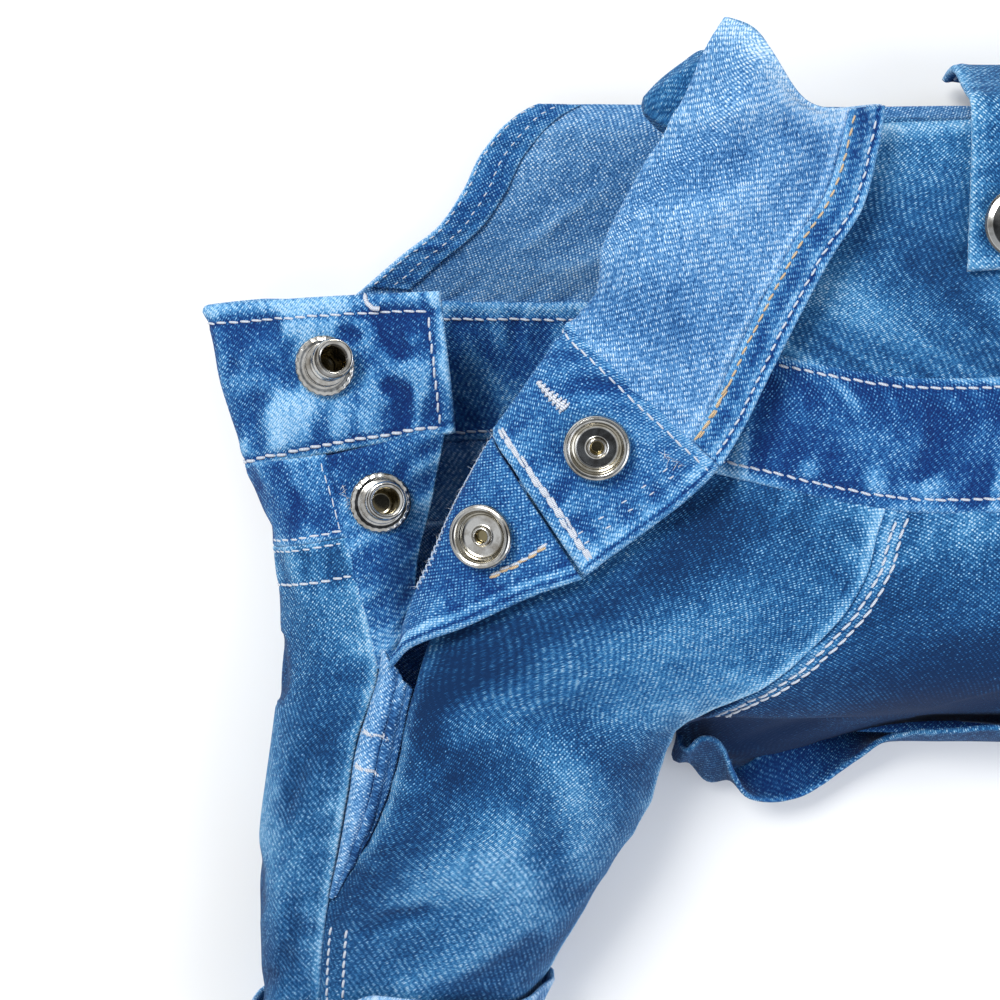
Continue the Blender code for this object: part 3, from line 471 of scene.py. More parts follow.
def leg_front_line(level):
    """Section of the right leg's front panel, from the rise seam or inseam to its outer edge."""
    r = LEG_FRONT.at(level)
    swell = max((r.crown - r.inner)[2], 0) * 0.34
    return under_waistband(smooth_line([
        r.inner + (0, 0, INSEAM_GAP / 2), mix(r.inner, r.crown, 0.34) + (0, 0, swell), r.crown,
        mix(r.crown, r.ridge, 0.6) + (0, 0, 0.8), r.ridge, r.ridge + (-r.run, -0.2, -r.drop)]), level)


def left_front_line(level):
    r = LEFT_FRONT.at(level)
    return under_waistband(smooth_line([r.inner, mix(r.inner, r.crown, 0.5) + (0, 0, 1.5), r.crown,
                                        mix(r.crown, r.side, 0.6) + (0, 0, 3), r.side]), level)


def back_line(table, level):
    """Section of a half back: side seam, round the wrapped side, along the floor, inner seam."""
    r = table.at(level)
    side, floor, raised = np.sign(r.tip[0]), max(r.floor, FLOOR_Z), r.inner[2] - r.floor
    landing, low = (np.array([r.tip[0] - side * far, mix(r.tip[1], r.inner[1], share), r.floor])
                    for far, share in ((11, 0.15), (30, 0.35)))
    inner = np.array([*r.inner[:2], max(r.inner[2] - INSEAM_GAP / 2, floor)])
    last = mix(low, inner, 0.8)
    last[2] = r.floor + ramp(raised / 12) * raised * 0.22
    line = smooth_line([r.seam, mix(r.seam, r.tip, 0.55) + (side * 2.5, 0, 3.5), r.tip, landing, low, last,
                        inner])
    line[:, 2] = np.maximum(line[:, 2], floor)
    return line


def mirrored(half):
    """A half section, from its outer end inward, and its mirror image before it."""
    return smooth_line(np.concatenate([np.array(half) * (-1, 1, 1), half[::-1]]))


def back_band_line(level):
    """Section of the back waistband: underlap end, wrapped side, along the floor, and the same again."""
    r = BACK_BAND.at(level)
    lying = [(r.tip[0] - far, mix(r.tip[1], r.centre_y, share), BAND_WALL / 2)
             for far, share in ((12, 0.2), (40, 0.6), (90, 1))]
    line = mirrored([r.end, mix(r.end, r.tip, 0.5) + (2, 0.5, 2.6), r.tip, *lying])
    line[:, 2] = np.maximum(line[:, 2], BAND_WALL / 2)
    return line


def back_bib_line(level):
    """Section of the back bib, armhole edge to armhole edge, raised on the part folded under it."""
    r = BACK_BIB.at(level)
    return mirrored([r.edge, (r.edge[0] * 0.72, mix(r.edge[1], r.middle_y, 0.6), r.lift + 0.6),
                     (r.edge[0] * 0.36, r.middle_y, r.lift + 0.2)])


def placket_line(level):
    """Section of the front placket, from under the fold to its free edge."""
    r = FRONT_PLACKET.at(level)
    below, tip, above, edge = fold_stations(r, (0.9, -0.1))
    return smooth_line([r.root, mix(r.root, below, 0.6) - (0, 0, 0.3), tip, above,
                        mix(above, edge, 0.5) + (0, 0, 0.6), edge])


def underlap_line(level):
    r = UNDERLAP.at(level)
    return smooth_line([r.seam, mix(r.seam, r.edge, 0.5) + (0, 0, 1.4), r.edge])


def yoke_line(level):
    """Section of the back yoke, side seam to side seam in one piece."""
    right, left = back_line(BACK, level), back_line(LEFT_BACK, level)
    join = 20
    return np.concatenate([right[:np.argmin(np.abs(right[:, 0] + join))],
                           left[np.argmin(np.abs(left[:, 0] - join))::-1]])


def strap_line(x):
    """Path of a strap at one X: up the bib's outer side, over its folded top and down behind it."""
    points = [(x, *(over_front(x, level) + (0, STRAP_STAND))) for level in np.linspace(58, 112, 8)]
    _, y, z = points[-1]
    points += [(x, y + 4.5, z - 2.2), (x, y + 7.5, z - 9), (x, STRAP_FOOT_Y + 2.5, 13), (x, STRAP_FOOT_Y, 6)]
    return smooth_line(points, 6)


print("the front's waist seam, side to free edge, in mm:", round(length_of(front_line(0))))


# %% [markdown]
# ## From a section to a grid of cloth
#
# A panel is laid as a grid: its rows are sections at many levels and its columns are equal shares of each
# section. The grid also keeps how far every point lies from the panel's four borders, measured on the
# cloth, because that is how a sewer places a seam: so many millimetres in from the edge. Subdividing the
# solid would be quicker, but it gives neither those distances nor the direction of the threads.

# %% Lay a panel
Panel = namedtuple("Panel", "points inward run rise to_end to_top turn")


def bordered(total, step, rim=(0.0, 0.12, 0.4, 0.8), rest=1.4):
    """Places from 0 to total about step apart, closer together near both ends so that edges can be round."""
    rim = np.array(rim)
    inner = np.linspace(rest, total - rest, max(3, int((total - 2 * rest) / step) + 1))
    return np.concatenate([rim, inner, total - rim[::-1]])


def measured(points, turn=1):
    """The grid with its inward normals and its distances from the borders, over the cloth. turn is -1 where
    the section runs the other way round."""
    inward = np.cross(np.gradient(points, axis=1), np.gradient(points, axis=0))
    inward = inward / np.linalg.norm(inward, axis=2, keepdims=True) * turn
    run, rise = (np.insert(np.cumsum(np.linalg.norm(np.diff(points, axis=axis), axis=2), axis=axis), 0, 0,
                           axis)
                 for axis in (1, 0))
    return Panel(points, inward, run, rise, run[:, -1:] - run, rise[-1:] - rise, turn)


def lay(section, first, last, step=0.9, turn=1, span=lambda total: (0.0, total)):
    """Grid of a panel from level first to level last. span says which part of a section of that length it
    covers."""
    lines = [section(level) for level in first + bordered(last - first, step)]
    spans = [span(length_of(line)) for line in lines]
    longest = max(stop - begin for begin, stop in spans)
    shares = bordered(longest, step) / longest
    return measured(np.array([read_at(begin + shares * (stop - begin), distances(line), line)
                              for line, (begin, stop) in zip(lines, spans)]), turn)


def run_on(section, edge, inside, drop=0.0):
    """The section function, carried on straight past its edge level, away from the level inside, and lowered
    there by drop a mm so that it tucks under the next piece."""
    def carried(level):
        past = (level - edge) / (edge - inside)
        if past <= 0:
            return section(level)
        at, before = section(edge), section(inside)
        return at + (at - before) * past - (0, 0, drop * abs(level - edge))

    return carried


def widened(section, before=None, after=None, drop=0.5):
    """The section function with each section carried on at its start and its end, before(level) and
    after(level) millimetres, and sinking there so that it tucks under its neighbour."""
    def carried(level):
        line = section(level)
        for reach, inside, end in ((before, 2, 0), (after, -3, -1)):
            far = reach(level) if reach else 0
            if far > 0.01:
                way = line[end] - line[inside]
                tip = line[end] + way / np.linalg.norm(way) * far - (0, 0, drop * far)
                line = np.concatenate([[tip], line] if end == 0 else [line, [tip]])
        return line

    return carried


SIDES = ("low", "top", "start", "end")


def from_border(panel, side):
    """Distance of every point from one border: start, end, low or top."""
    return {"start": panel.run, "end": panel.to_end, "low": panel.rise, "top": panel.to_top}[side]


def soft(value):
    """A rounded bump, 1 in its middle."""
    return np.exp(-value * value)


def near(panel, side, distance, width):
    """A soft line along a border, that distance in from it."""
    return soft((from_border(panel, side) - distance) / width)


# %% [markdown]
# ## Puckers, creases and rolled edges
#
# Where two layers are stitched, the thread is shorter than the cloth, so the cloth gathers in short waves
# that lean and fade out away from the seam. Washing then rubs the crests pale, and the valleys are painted
# dark as painted shade.
# Cloth simulation could make such waves, but not where the photograph has them, so they are sums of soft
# bumps, uneven in length, height and spacing. A fold made by handling is a longer trough, placed one by one.

# %% Heights on the cloth
Gather = namedtuple("Gather", "side offset pitch depth reach seed")
Crease = namedtuple("Crease", "rise_a run_a rise_b run_b width depth")
# A fade is a soft patch of paler or darker wash; many of the dark ones are painted shade and painted shadow.
Fade = namedtuple("Fade", "rise run tall wide amount")
Pull = namedtuple("Pull", "side distance depth width", defaults=(0.3, 0.8))
# A rub pales the cloth along a border; a negative amount paints a dark line there instead, as painted shade
# in a stitch groove.
RubAndShade = namedtuple("RubAndShade", "side distance width amount", defaults=(1.0,))


def gathered(panel, gather):
    """Waves that cross a seam, uneven in height, length and spacing, leaning to one side."""
    rng = np.random.default_rng(gather.seed + 11)
    off = from_border(panel, gather.side) - gather.offset
    place = panel.rise if gather.side in ("start", "end") else panel.run
    height = np.zeros_like(off)
    at = -gather.pitch
    while at < place.max() + gather.pitch:
        lean, tall, wide = rng.uniform(-0.35, 0.35), rng.uniform(0.35, 1.25), rng.uniform(0.24, 0.4)
        far = gather.reach * rng.uniform(0.5, 1.35)
        height += tall * soft((place - at - lean * off) / (wide * gather.pitch)) * soft(off / far)
        at += gather.pitch * rng.uniform(0.65, 1.4)
    return gather.depth * (height - 0.45 * soft(off / gather.reach))


def creased(panel, crease):
    """A soft trough, or a ridge where depth is negative, that fades at both its ends."""
    bx, by = crease.run_b - crease.run_a, crease.rise_b - crease.rise_a
    px, py = panel.run - crease.run_a, panel.rise - crease.rise_a
    span = math.hypot(bx, by)
    share = (px * bx + py * by) / span ** 2
    side = (px * by - py * bx) / span + crease.width * 0.6 * np.sin(share * 5 + crease.run_a)
    return -crease.depth * soft(side / crease.width) * np.sqrt(ramp(share) * ramp(1 - share) * 4)


def rolling(panel, seed, size, depth, waves=7):
    """The slow unevenness of cloth that was worn and washed."""
    rng = np.random.default_rng(seed)
    height = np.zeros_like(panel.run)
    for _ in range(waves):
        angle = rng.uniform(0, math.pi)
        wave = size * rng.uniform(0.6, 1.7)
        way = (panel.run * math.cos(angle) + panel.rise * math.sin(angle)) / wave
        height += np.sin(2 * math.pi * way + rng.uniform(0, 6))
    return depth * height / 4


def heights(panel, gathers=(), creases=(), pulls=(), slow=0.25, seed=1, size=40):
    """All that lifts or sinks the cloth. A pull is a row of stitches, which draws it down along itself."""
    return (rolling(panel, seed, size, slow) + sum(gathered(panel, Gather(*row)) for row in gathers)
            + sum(creased(panel, Crease(*row)) for row in creases)
            - sum(pull.depth * near(panel, pull.side, pull.distance, pull.width)
                  for pull in (Pull(*row) for row in pulls)))


# %% [markdown]
# ## A shell with two faces
#
# Denim is woven with blue yarn lengthwise and white yarn across, so its outer side is blue and its reverse
# is pale. Each shell is therefore a closed skin with an outer and an inner face, a real thickness between
# them and a round edge, and every point keeps its place on the cloth in millimetres for the weave. A
# Solidify modifier would square the edges, so the two faces are set off from the grid in code and meet at
# the border.

# %% Build a shell
HALF = 0.62              # half the thickness of one layer
FACE_SHIFT = (0.31, 0.17, 1)   # so that the two faces' weaves do not match
body = bpy.data.collections.new("shortalls")
bpy.context.scene.collection.children.link(body)


def mesh_of(name, points, faces, surfaces):
    """A mesh object from points in millimetres and a table of quads."""
    mesh = bpy.data.meshes.new(name)
    mesh.vertices.add(len(points))
    mesh.vertices.foreach_set("co", (np.asarray(points) * MM).astype(np.float32).ravel())
    mesh.loops.add(faces.size)
    mesh.loops.foreach_set("vertex_index", faces.astype(np.int32).ravel())
    mesh.polygons.add(len(faces))
    mesh.polygons.foreach_set("loop_start", np.arange(0, faces.size, 4, dtype=np.int32))
    mesh.update(calc_edges=True)
    mesh.validate()
    mesh.shade_smooth()
    for surface in surfaces:
        mesh.materials.append(surface)
    thing = bpy.data.objects.new(name, mesh)
    body.objects.link(thing)
    print(f"{name}: {len(faces) * 2} triangles")
    return thing


def quads_of(rows, columns, closed=False):
    number = np.arange(rows * columns).reshape(rows, columns)
    if closed:
        number = np.concatenate([number, number[:, :1]], axis=1)
    return np.stack([number[:-1, :-1], number[:-1, 1:], number[1:, 1:], number[1:, :-1]],
                    axis=-1).reshape(-1, 4)


def keep_values(thing, name, values, kind="FLOAT"):
    """Store one value a point, for the surface to read."""
    store = thing.data.attributes.new(name, kind, "POINT")
    store.data.foreach_set("vector" if kind == "FLOAT_VECTOR" else "value",
                           np.asarray(values, np.float32).ravel())


def welded(faces, rows, columns, closed):
    """Let the inner face use the outer face's own border points, so that the skin is closed."""
    number = np.arange(rows * columns).reshape(rows, columns)
    same = np.arange(2 * number.size)
    for line in [number[0], number[-1]] + ([] if closed else [number[:, 0], number[:, -1]]):
        same[line + number.size] = line
    return same[faces]


def shell(name, panel, height, wear_and_shade, wash_and_shade, surfaces, half=HALF, ridges=(), closed=False, weave_from="start"):
    """A closed skin round the panel. surfaces are the outer and the inner finish. A ridge is a (side,
    distance, width, extra) that makes the cloth thicker there, where a seam allowance lies inside. The weave
    runs straight along the border weave_from."""
    rows, columns = panel.run.shape
    thick = half + 0 * panel.run
    for *place, extra in ridges:
        thick = thick + extra * near(panel, *place)
    border = np.min([from_border(panel, side) for side in (SIDES[:2] if closed else SIDES)], axis=0)
    thick = thick * np.sqrt(1 - (1 - ramp(border / (half * 1.15))) ** 2)
    inner = panel.points + panel.inward * (thick - height)[..., None]
    outer = panel.points - panel.inward * (thick + height)[..., None]
    for face, lowest in ((inner, 0.12), (outer, 0)):
        face[..., 2] = np.maximum(face[..., 2], lowest)
    faces = quads_of(rows, columns, closed)[:, ::-panel.turn]
    both = welded(np.concatenate([faces, faces[:, ::-1] + rows * columns]), rows, columns, closed)
    thing = mesh_of(name, np.concatenate([outer.reshape(-1, 3), inner.reshape(-1, 3)]), both, surfaces)
    thing.data.polygons.foreach_set("material_index", np.repeat(np.arange(2, dtype=np.int32), len(faces)))
    across = panel.run if weave_from == "start" else panel.run[:, -1].mean() - panel.to_end
    cloth = np.stack([across, panel.rise, np.zeros_like(across)], axis=-1).reshape(-1, 3)
    keep_values(thing, "cloth", np.concatenate([cloth, cloth + FACE_SHIFT]), "FLOAT_VECTOR")
    crest, edge = wear_and_shade
    keep_values(thing, "wear_and_shade", np.clip(np.stack([crest + edge, edge - 0.6 * crest]), -1.2, 1.3))
    keep_values(thing, "wash_and_shade", np.stack([wash_and_shade, wash_and_shade]))
    edit = bmesh.new()
    edit.from_mesh(thing.data)
    bmesh.ops.delete(edit, geom=[v for v in edit.verts if not v.link_faces], context="VERTS")
    edit.to_mesh(thing.data)
    edit.free()
    return thing


# %% [markdown]
# ## Denim
#
# Indigo ring-spun cotton twill, woven three over one and stone-washed. Its real yarns are about 0.35 mm
# apart, which is a pixel and a half here, so they are drawn 0.38 mm apart to show at all. Indigo only coats
# the yarn, so rubbing bares its white core: crests, ridges and free edges are pale. The valleys and the
# grooves along stitching are painted dark, as painted shade. The weave could be an image, but a formula on
# the cloth's own millimetres follows every fold. It is matte, with the faint sheen of its fibre ends.

# %% The denims
YARN_PITCH = 0.38        # millimetres


def finish_of(name, **values):
    """A new material, its tree and its shader with these values set."""
    made = bpy.data.materials.new(name)
    made.use_nodes = True
    shader = made.node_tree.nodes["Principled BSDF"]
    for key, value in values.items():
        shader.inputs[key.replace("_", " ")].default_value = value
    return made, made.node_tree, shader


def denim(name, stops, fleck, wear_and_shade_gain=1.0, base=0.44, seed=0.0):
    """stops are (place, hex) from the darkest painted shade of a valley to the most rubbed edge. fleck is how
    far the pale cross yarns stand out between the blue ones."""
    made, tree, shader = finish_of(name, Roughness=0.92, Specular_IOR_Level=0.15, Sheen_Weight=0.05,
                                   Sheen_Roughness=0.5)

    node = partial(add, tree)
    cloth, wear_and_shade, wash_and_shade = (node("Attribute", out=kind, attribute_name=name) for name, kind in
                         (("cloth", "Vector"), ("wear_and_shade", "Fac"), ("wash_and_shade", "Fac")))
    moved = node("VectorMath", cloth, (seed, seed * 1.7, 0), operation="ADD")
    drawn = node("VectorMath", moved, (1.6, 0.16, 1), operation="MULTIPLY")
    jitter, fine, slub, cloud, patch = (
        node("TexNoise", out="Fac", inputs={"Vector": place, "Scale": scale, "Detail": detail,
                                            "Roughness": rough})
        for place, scale, detail, rough in ((moved, 0.7, 3, 0.5), (moved, 1.9, 4, 0.75), (drawn, 1, 3, 0.5),
                                            (moved, 0.05, 4, 0.6), (moved, 0.24, 3, 0.5)))
    warp, weft = (node("Math", jitter, sway, node("Math", part, YARN_PITCH, operation="DIVIDE"),
                       operation="MULTIPLY_ADD")
                  for part, sway in zip(node("SeparateXYZ", moved).node.outputs, (1.7, -1.3)))
    along = node("Math", warp, weft, operation="ADD")
    across = node("Math", warp, weft, operation="SUBTRACT")
    wale, float_end = (node("Math", node("Math", node("Math", part, turn, operation="MULTIPLY"),
                                         operation="SINE"), gain, 0.5, operation="MULTIPLY_ADD")
                       for part, turn, gain in ((along, math.pi, 0.5), (across, math.pi * 0.5, 0.34)))
    cell = node("CombineXYZ", *(node("Math", node("Math", part, size, 0.25, operation="MULTIPLY_ADD"),
                                     operation="FLOOR") for part, size in ((along, 0.5), (across, 0.25))))
    uneven = node("Math", node("TexWhiteNoise", inputs={"Vector": cell}, out="Value"), 1.3, 0.35,
                  operation="MULTIPLY_ADD")
    weave = node("Math", node("Math", wale, float_end, operation="MULTIPLY"), uneven, operation="MULTIPLY")
    # Rubbed crests and edges are paled here; valleys and stitch grooves are darkened as painted shade.
    tone = node("Math", wear_and_shade, 0.3 * wear_and_shade_gain, base, operation="MULTIPLY_ADD")
    # Patches paled or darkened by the wash, with painted shade and painted shadow among the dark ones.
    tone = node("Math", wash_and_shade, 0.22, tone, operation="MULTIPLY_ADD")
    for source, middle, gain in ((weave, 0.25, fleck), (fine, 0.5, fleck * 2.7), (slub, 0.5, 0.4),
                                 (cloud, 0.5, 0.22), (patch, 0.5, 0.26)):
        tone = node("Math", node("Math", source, middle, operation="SUBTRACT"), gain, tone,
                    operation="MULTIPLY_ADD")
    crests = node("Math", fine, 0.8, weave, operation="MULTIPLY_ADD")
    bump = node("Bump", inputs={"Strength": 0.55, "Distance": 0.00022, "Height": crests}, out="Normal")
    tree.links.new(coloured(node("ValToRGB", tone), stops), shader.inputs["Base Color"])
    tree.links.new(bump, shader.inputs["Normal"])
    return made


washed = denim("denim_indigo_twill_stone_washed",
               ((0.0, "08284F"), (0.25, "113E6F"), (0.45, "245F93"), (0.62, "4686B6"), (0.8, "7FB0D4"),
                (1.0, "BCD6EA")), 0.52)
reverse = denim("denim_twill_reverse_side",
                ((0.0, "143B6C"), (0.25, "2C5F97"), (0.45, "4B80B4"), (0.62, "6E9FCD"), (0.8, "98C0E4"),
                 (1.0, "CFE2F3")), 0.68, seed=40.0)
gathered_blue = denim("denim_indigo_twill_gathered",
                      ((0.0, "08255C"), (0.25, "0F3A75"), (0.45, "235D97"), (0.62, "4988BC"),
                       (0.8, "7FB1D9"), (1.0, "B2D2EC")), 0.52, wear_and_shade_gain=0.9, base=0.39, seed=90.0)

# %% [markdown]
# ## Thread
#
# The seams are sewn in a bleached cotton-wrapped polyester thread, with a tan one on the facings. A stitch
# on thick cloth is a short soft cylinder that dives in at both ends. A bevelled curve for each stitch would
# be heavy, so a row of them is one mesh, made ring by ring.

# %% Thread and its tubes
def thread(name, pale, deep):
    made, tree, shader = finish_of(name, Roughness=0.6, Sheen_Weight=0.2)
    node = partial(add, tree)
    turns = node("Math", node("Attribute", out="Fac", attribute_name="twist"), 9.0, operation="MULTIPLY")
    wave = node("Math", node("Math", turns, operation="SINE"), 0.5, 0.5, operation="MULTIPLY_ADD")
    # The twist's darker stripes are painted shade in the grooves between the thread's plies.
    mixed = node("Mix", inputs={"Factor": wave, "A": srgb(deep), "B": srgb(pale)}, out="Result",
                 data_type="RGBA")
    tree.links.new(mixed, shader.inputs["Base Color"])
    return made


cream = thread("thread_bleached_cotton_spun", "DDDFE2", "8E9DB6")
tan = thread("thread_tan_polyester_spun", "D9C2A0", "9A7C56")
blue_thread = thread("thread_pale_blue_overlock", "C9D9EC", "7C98C0")


def unit(vectors):
    return vectors / (np.linalg.norm(vectors, axis=-1, keepdims=True) + 1e-9)


def circle(steps):
    """Cosine and sine of that many equal steps round."""
    turn = np.linspace(0, 2 * math.pi, steps + 1)[:-1]
    return np.cos(turn), np.sin(turn)


class Threads:
    """Gathers many small tubes into one mesh."""

    def __init__(self):
        self.points, self.faces, self.twist, self.count = [], [], [], 0

    def add(self, points, normals, radii, sides=6):
        """A tube of rings round a line."""
        along = unit(np.gradient(points, axis=0))
        beside = unit(np.cross(along, normals))
        cosine, sine = (part[None, :, None] for part in circle(sides))
        ring = cosine * beside[:, None] + sine * np.cross(beside, along)[:, None]
        rings = points[:, None] + ring * np.asarray(radii)[:, None, None]
        self.points.append(rings.reshape(-1, 3))
        self.faces.append(quads_of(len(rings), sides, closed=True) + self.count)
        self.twist.append(np.repeat(np.linspace(0, len(rings) * 0.9, len(rings)), sides))
        self.count += len(rings) * sides

    def build(self, name, surface):
        thing = mesh_of(name, np.concatenate(self.points), np.concatenate(self.faces), [surface])
        keep_values(thing, "twist", np.concatenate(self.twist))
        return thing


# %% [markdown]
# ## Stitches, tacks and fibre ends
#
# A lockstitch machine leaves even stitches a few degrees off the seam's line, each pulled down at both its
# ends. A bar tack or an overlocked edge is the same thread laid from side to side. Every stitch is set a
# little differently, because a perfectly even row looks printed.

# %% Stitches
Cloth = namedtuple("Cloth", "panel height half")   # what a stitch has to know of the piece that it is in
STITCH_LENGTH = 2.85
STITCH_PITCH = 2.9
THREAD_RADIUS = 0.32
THREAD_SLANT = 0.34      # how far a stitch leans over its length
LINE_STEP = 0.35
seams = {"back": Threads(), "front": Threads(), "legs": Threads(), "tan": Threads(), "overlock": Threads()}


def border_line(cloth, side, distance, first, last, inner, lift):
    """Points and normals on one face of a piece, a distance in from one of its borders."""
    panel = cloth.panel
    grids = panel.points - panel.inward * cloth.height[..., None], panel.inward, from_border(panel, side)
    if side in ("low", "top"):
        grids = [np.swapaxes(grid, 0, 1) for grid in grids]
    points, normals = [], []
    for here, way, at in zip(*grids):
        order = -1 if at[0] > at[-1] else 1
        points.append(read_at(distance, at[::order], here[::order]))
        normals.append(read_at(distance, at[::order], way[::order]))
    normals = np.array(normals) * (1 if inner else -1)
    points = np.array(points) + normals * lift
    far = distances(points)
    last = far[-1] if last is None else (last if last > 0 else far[-1] + last)
    wanted = np.arange(first, last, LINE_STEP)
    return read_at(wanted, far, points), read_at(wanted, far, normals)


def on_cloth(cloth, stations, inner=True, step=0.4):
    """Points and normals on one face along stations given as (rise, run) on the cloth."""
    panel, face = cloth.panel, 1.0 if inner else -1.0
    far = distances(stations)
    place = (panel.points + panel.inward * (face * cloth.half - cloth.height)[..., None]).reshape(-1, 3)
    way = panel.inward.reshape(-1, 3) * face
    points, normals = [], []
    for rise, run in read_at(np.arange(0, far[-1] + step / 2, step), far, stations):
        off = np.hypot(panel.rise.ravel() - rise, panel.run.ravel() - run) + 0.05
        close = np.argpartition(off, 6)[:6]
        share = (1 / off[close]) / (1 / off[close]).sum()
        points.append(share @ place[close])
        normals.append(share @ way[close])
    return np.array(points), np.array(normals)


def sew(threads, line, seed, pitch=STITCH_PITCH, length=STITCH_LENGTH, radius=THREAD_RADIUS, sway=0.12):
    """Stitches along a line, each a little different."""
    points, normals = line
    rng = np.random.default_rng(seed)
    far = distances(points)
    share = np.linspace(0, 1, 7)
    ends = np.abs(2 * share - 1)
    at = 0.3
    while at + length < far[-1]:
        here = at + share * length * rng.uniform(0.9, 1.08)
        place, way = read_at(here, far, points), read_at(here, far, normals)
        way = way / np.linalg.norm(way, axis=1, keepdims=True)
        beside = unit(np.cross(np.gradient(place, axis=0), way))
        lean = THREAD_SLANT * (radius / THREAD_RADIUS) + rng.uniform(-0.5, 0.5) * sway
        place = place + beside * (rng.uniform(-sway, sway) + lean * (share - 0.5)[:, None])
        place = place + way * ((1 - ends ** 3) * radius * 1.15 - 0.28)[:, None]
        seams[threads].add(place, way, radius * np.sqrt(np.clip(1 - ends ** 5, 0.02, 1)))
        at += pitch * rng.uniform(0.94, 1.06)


def seam(threads, cloth, side, distance, first, last, seed, inner=False, lift=None, **how):
    """A row of stitches along a border. last may be counted back from the row's end."""
    line = border_line(cloth, side, distance, first, last, inner, cloth.half if lift is None else lift)
    sew(threads, line, seed, **how)


def zigzag(threads, line, width, pitch, radius, seed):
    """Close stitches from side to side of a line. width is a (first, last) pair."""
    points, normals = line
    rng = np.random.default_rng(seed)
    far = distances(points)
    share = np.linspace(0, 1, 5)
    ends = np.abs(2 * share - 1)
    for k, at in enumerate(np.arange(0, far[-1], pitch)):
        here = at + (share - 0.5) * pitch * 1.6
        place, way = read_at(here, far, points), read_at(here, far, normals)
        along = np.gradient(points, axis=0)[np.searchsorted(far, at).clip(0, len(far) - 1)]
        beside = unit(np.cross(along, way[2]))
        wide = mix(*width, at / far[-1]) * rng.uniform(0.85, 1.1) * (1 if k % 2 else -1)
        place = place + beside * ((share - 0.5) * wide)[:, None]
        place = place + way * ((1 - ends ** 2) * radius * 1.4 - radius * 0.3)[:, None]
        seams[threads].add(place, way, radius * (1 - 0.6 * ends ** 4))


def fray(threads, line, count, reach, radius, seed):
    """Loose fibre ends that stand off a worn place."""
    points, normals = line
    rng = np.random.default_rng(seed)
    share = np.linspace(0, 1, 5)[:, None]
    for _ in range(count):
        k = rng.integers(len(points))
        way = normals[k] * rng.uniform(0.1, 0.7) + rng.normal(0, 0.7, 3)
        way /= np.linalg.norm(way)
        bend = rng.normal(0, 0.4, 3)
        place = points[k] + way * share * reach * rng.uniform(0.4, 1) + bend * share ** 2
        facing = np.repeat(normals[k][None], 5, axis=0)
        seams[threads].add(place, facing, radius * (1.1 - share[:, 0]), sides=4)

# %% [markdown]
# ## Dressing a piece
#
# Every piece goes through the same steps, as it would on a sewing floor: it is cut, gathered by its seams,
# washed and given its painted shade, and then it takes the place of its solid. Its stitches come after it,
# because they sit on its finished faces.

# %% Dress a piece
BLUE = gathered_blue, gathered_blue      # the outer and the inner finish of a piece that is faced
TWILL = washed, reverse                  # and of one that shows the cloth's own reverse


def rubbed_and_shaded(panel, height, edges, depth):
    """How much a place is rubbed, with its painted shade: crests and free edges pale from wear, and valleys
    and stitch grooves dark as painted shade.
    """
    edge = sum(rub.amount * near(panel, *rub[:3]) for rub in (RubAndShade(*row) for row in edges))
    return np.tanh(1.3 * height / depth) * 0.95, edge + 0 * height


def faded_and_shaded(panel, fades_and_shades, tone):
    """Where the wash has left the cloth paler or darker, and where shade and shadow are painted darker."""
    wash_and_shade = np.full_like(panel.run, tone)
    for fade in (Fade(*row) for row in fades_and_shades):
        rise, run = (panel.rise - fade.rise) / fade.tall, (panel.run - fade.run) / fade.wide
        wash_and_shade += fade.amount * soft(rise) * soft(run)
    return wash_and_shade


def stand_in(thing, solid):
    """Let a piece ride on the garment's one body and take the place of its solid."""
    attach(thing, "root")
    if solid:
        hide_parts(solid)


def dress(solid, panel, height, surfaces, slot="washed_denim", edges=(), depth=0.45, fades_and_shades=(), tone=0.0,
          held="folded", facing=False, stands=True, **more):
    """Make the shell and let it take the place of its solid. A facing lies on the cloth's inside, so its
    heights count the other way."""
    wear_and_shade = rubbed_and_shaded(panel, height, edges, depth)
    height = -height if facing else height
    thing = shell(solid + "_cloth", panel, height, wear_and_shade, faded_and_shaded(panel, fades_and_shades, tone), surfaces, **more)
    stand_in(thing, solid if stands else None)
    return Cloth(panel, height, more.get("half", HALF))


# %% [markdown]
# ## The back
#
# The back is cut as a yoke with the waistband above it, the bib above that and a leg below each side. It lies
# on the floor and wraps up round the sides, so its outer side shows at the picture's left, where the
# waistband ends in an underlap, and its pale inside shows in the bib. Seam allowances make a thick ridge at
# each edge, and the waistband is the most gathered piece of all.

# %% Back waistband with its underlaps
BAND_HALF = 1.0          # half the waistband's thickness
panel = lay(back_band_line, 0, WAISTBAND_HEIGHT + 1.4, step=0.88)
height = heights(panel, [
    ("top", 9, 8.5, 1.15, 6, 1), ("low", 7, 8, 0.9, 5.5, 2), ("start", 7, 8, 0.8, 5, 3),
    ("end", 7, 8, 0.8, 5, 4), ("top", 1.4, 2.2, 0.3, 2, 5), ("low", 0.9, 2.2, 0.25, 1.6, 6),
], [
    (18, 44, 6, 52, 2.6, 1.1), (31, 22, 22, 30, 2.2, 0.8), (27, 46, 17, 36, 2, 0.7),
    (9, 15, 18, 20, 2.4, -0.7), (21, 58, 19, 70, 2.6, 1.3), (35, 46, 26, 36, 2.6, 1.5),
    (25, 50, 25, 54, 1.8, 1.2), (31, 25, 25, 20, 1.8, 1), (32, 16, 20, 8, 2.6, 1.7), (16, 15, 4, 10, 2, 1.3),
    (29, 40, 34, 30, 2.6, -0.9), (16, 46, 6, 34, 5, -0.6), (24, 14, 10, 6, 2.2, -0.9),
    (10, 20, 4, 24, 2.2, -0.6),
], [("top", 4.4), ("low", 2.6), ("start", 3.6), ("end", 3.6)], slow=0.22, size=26, seed=5)
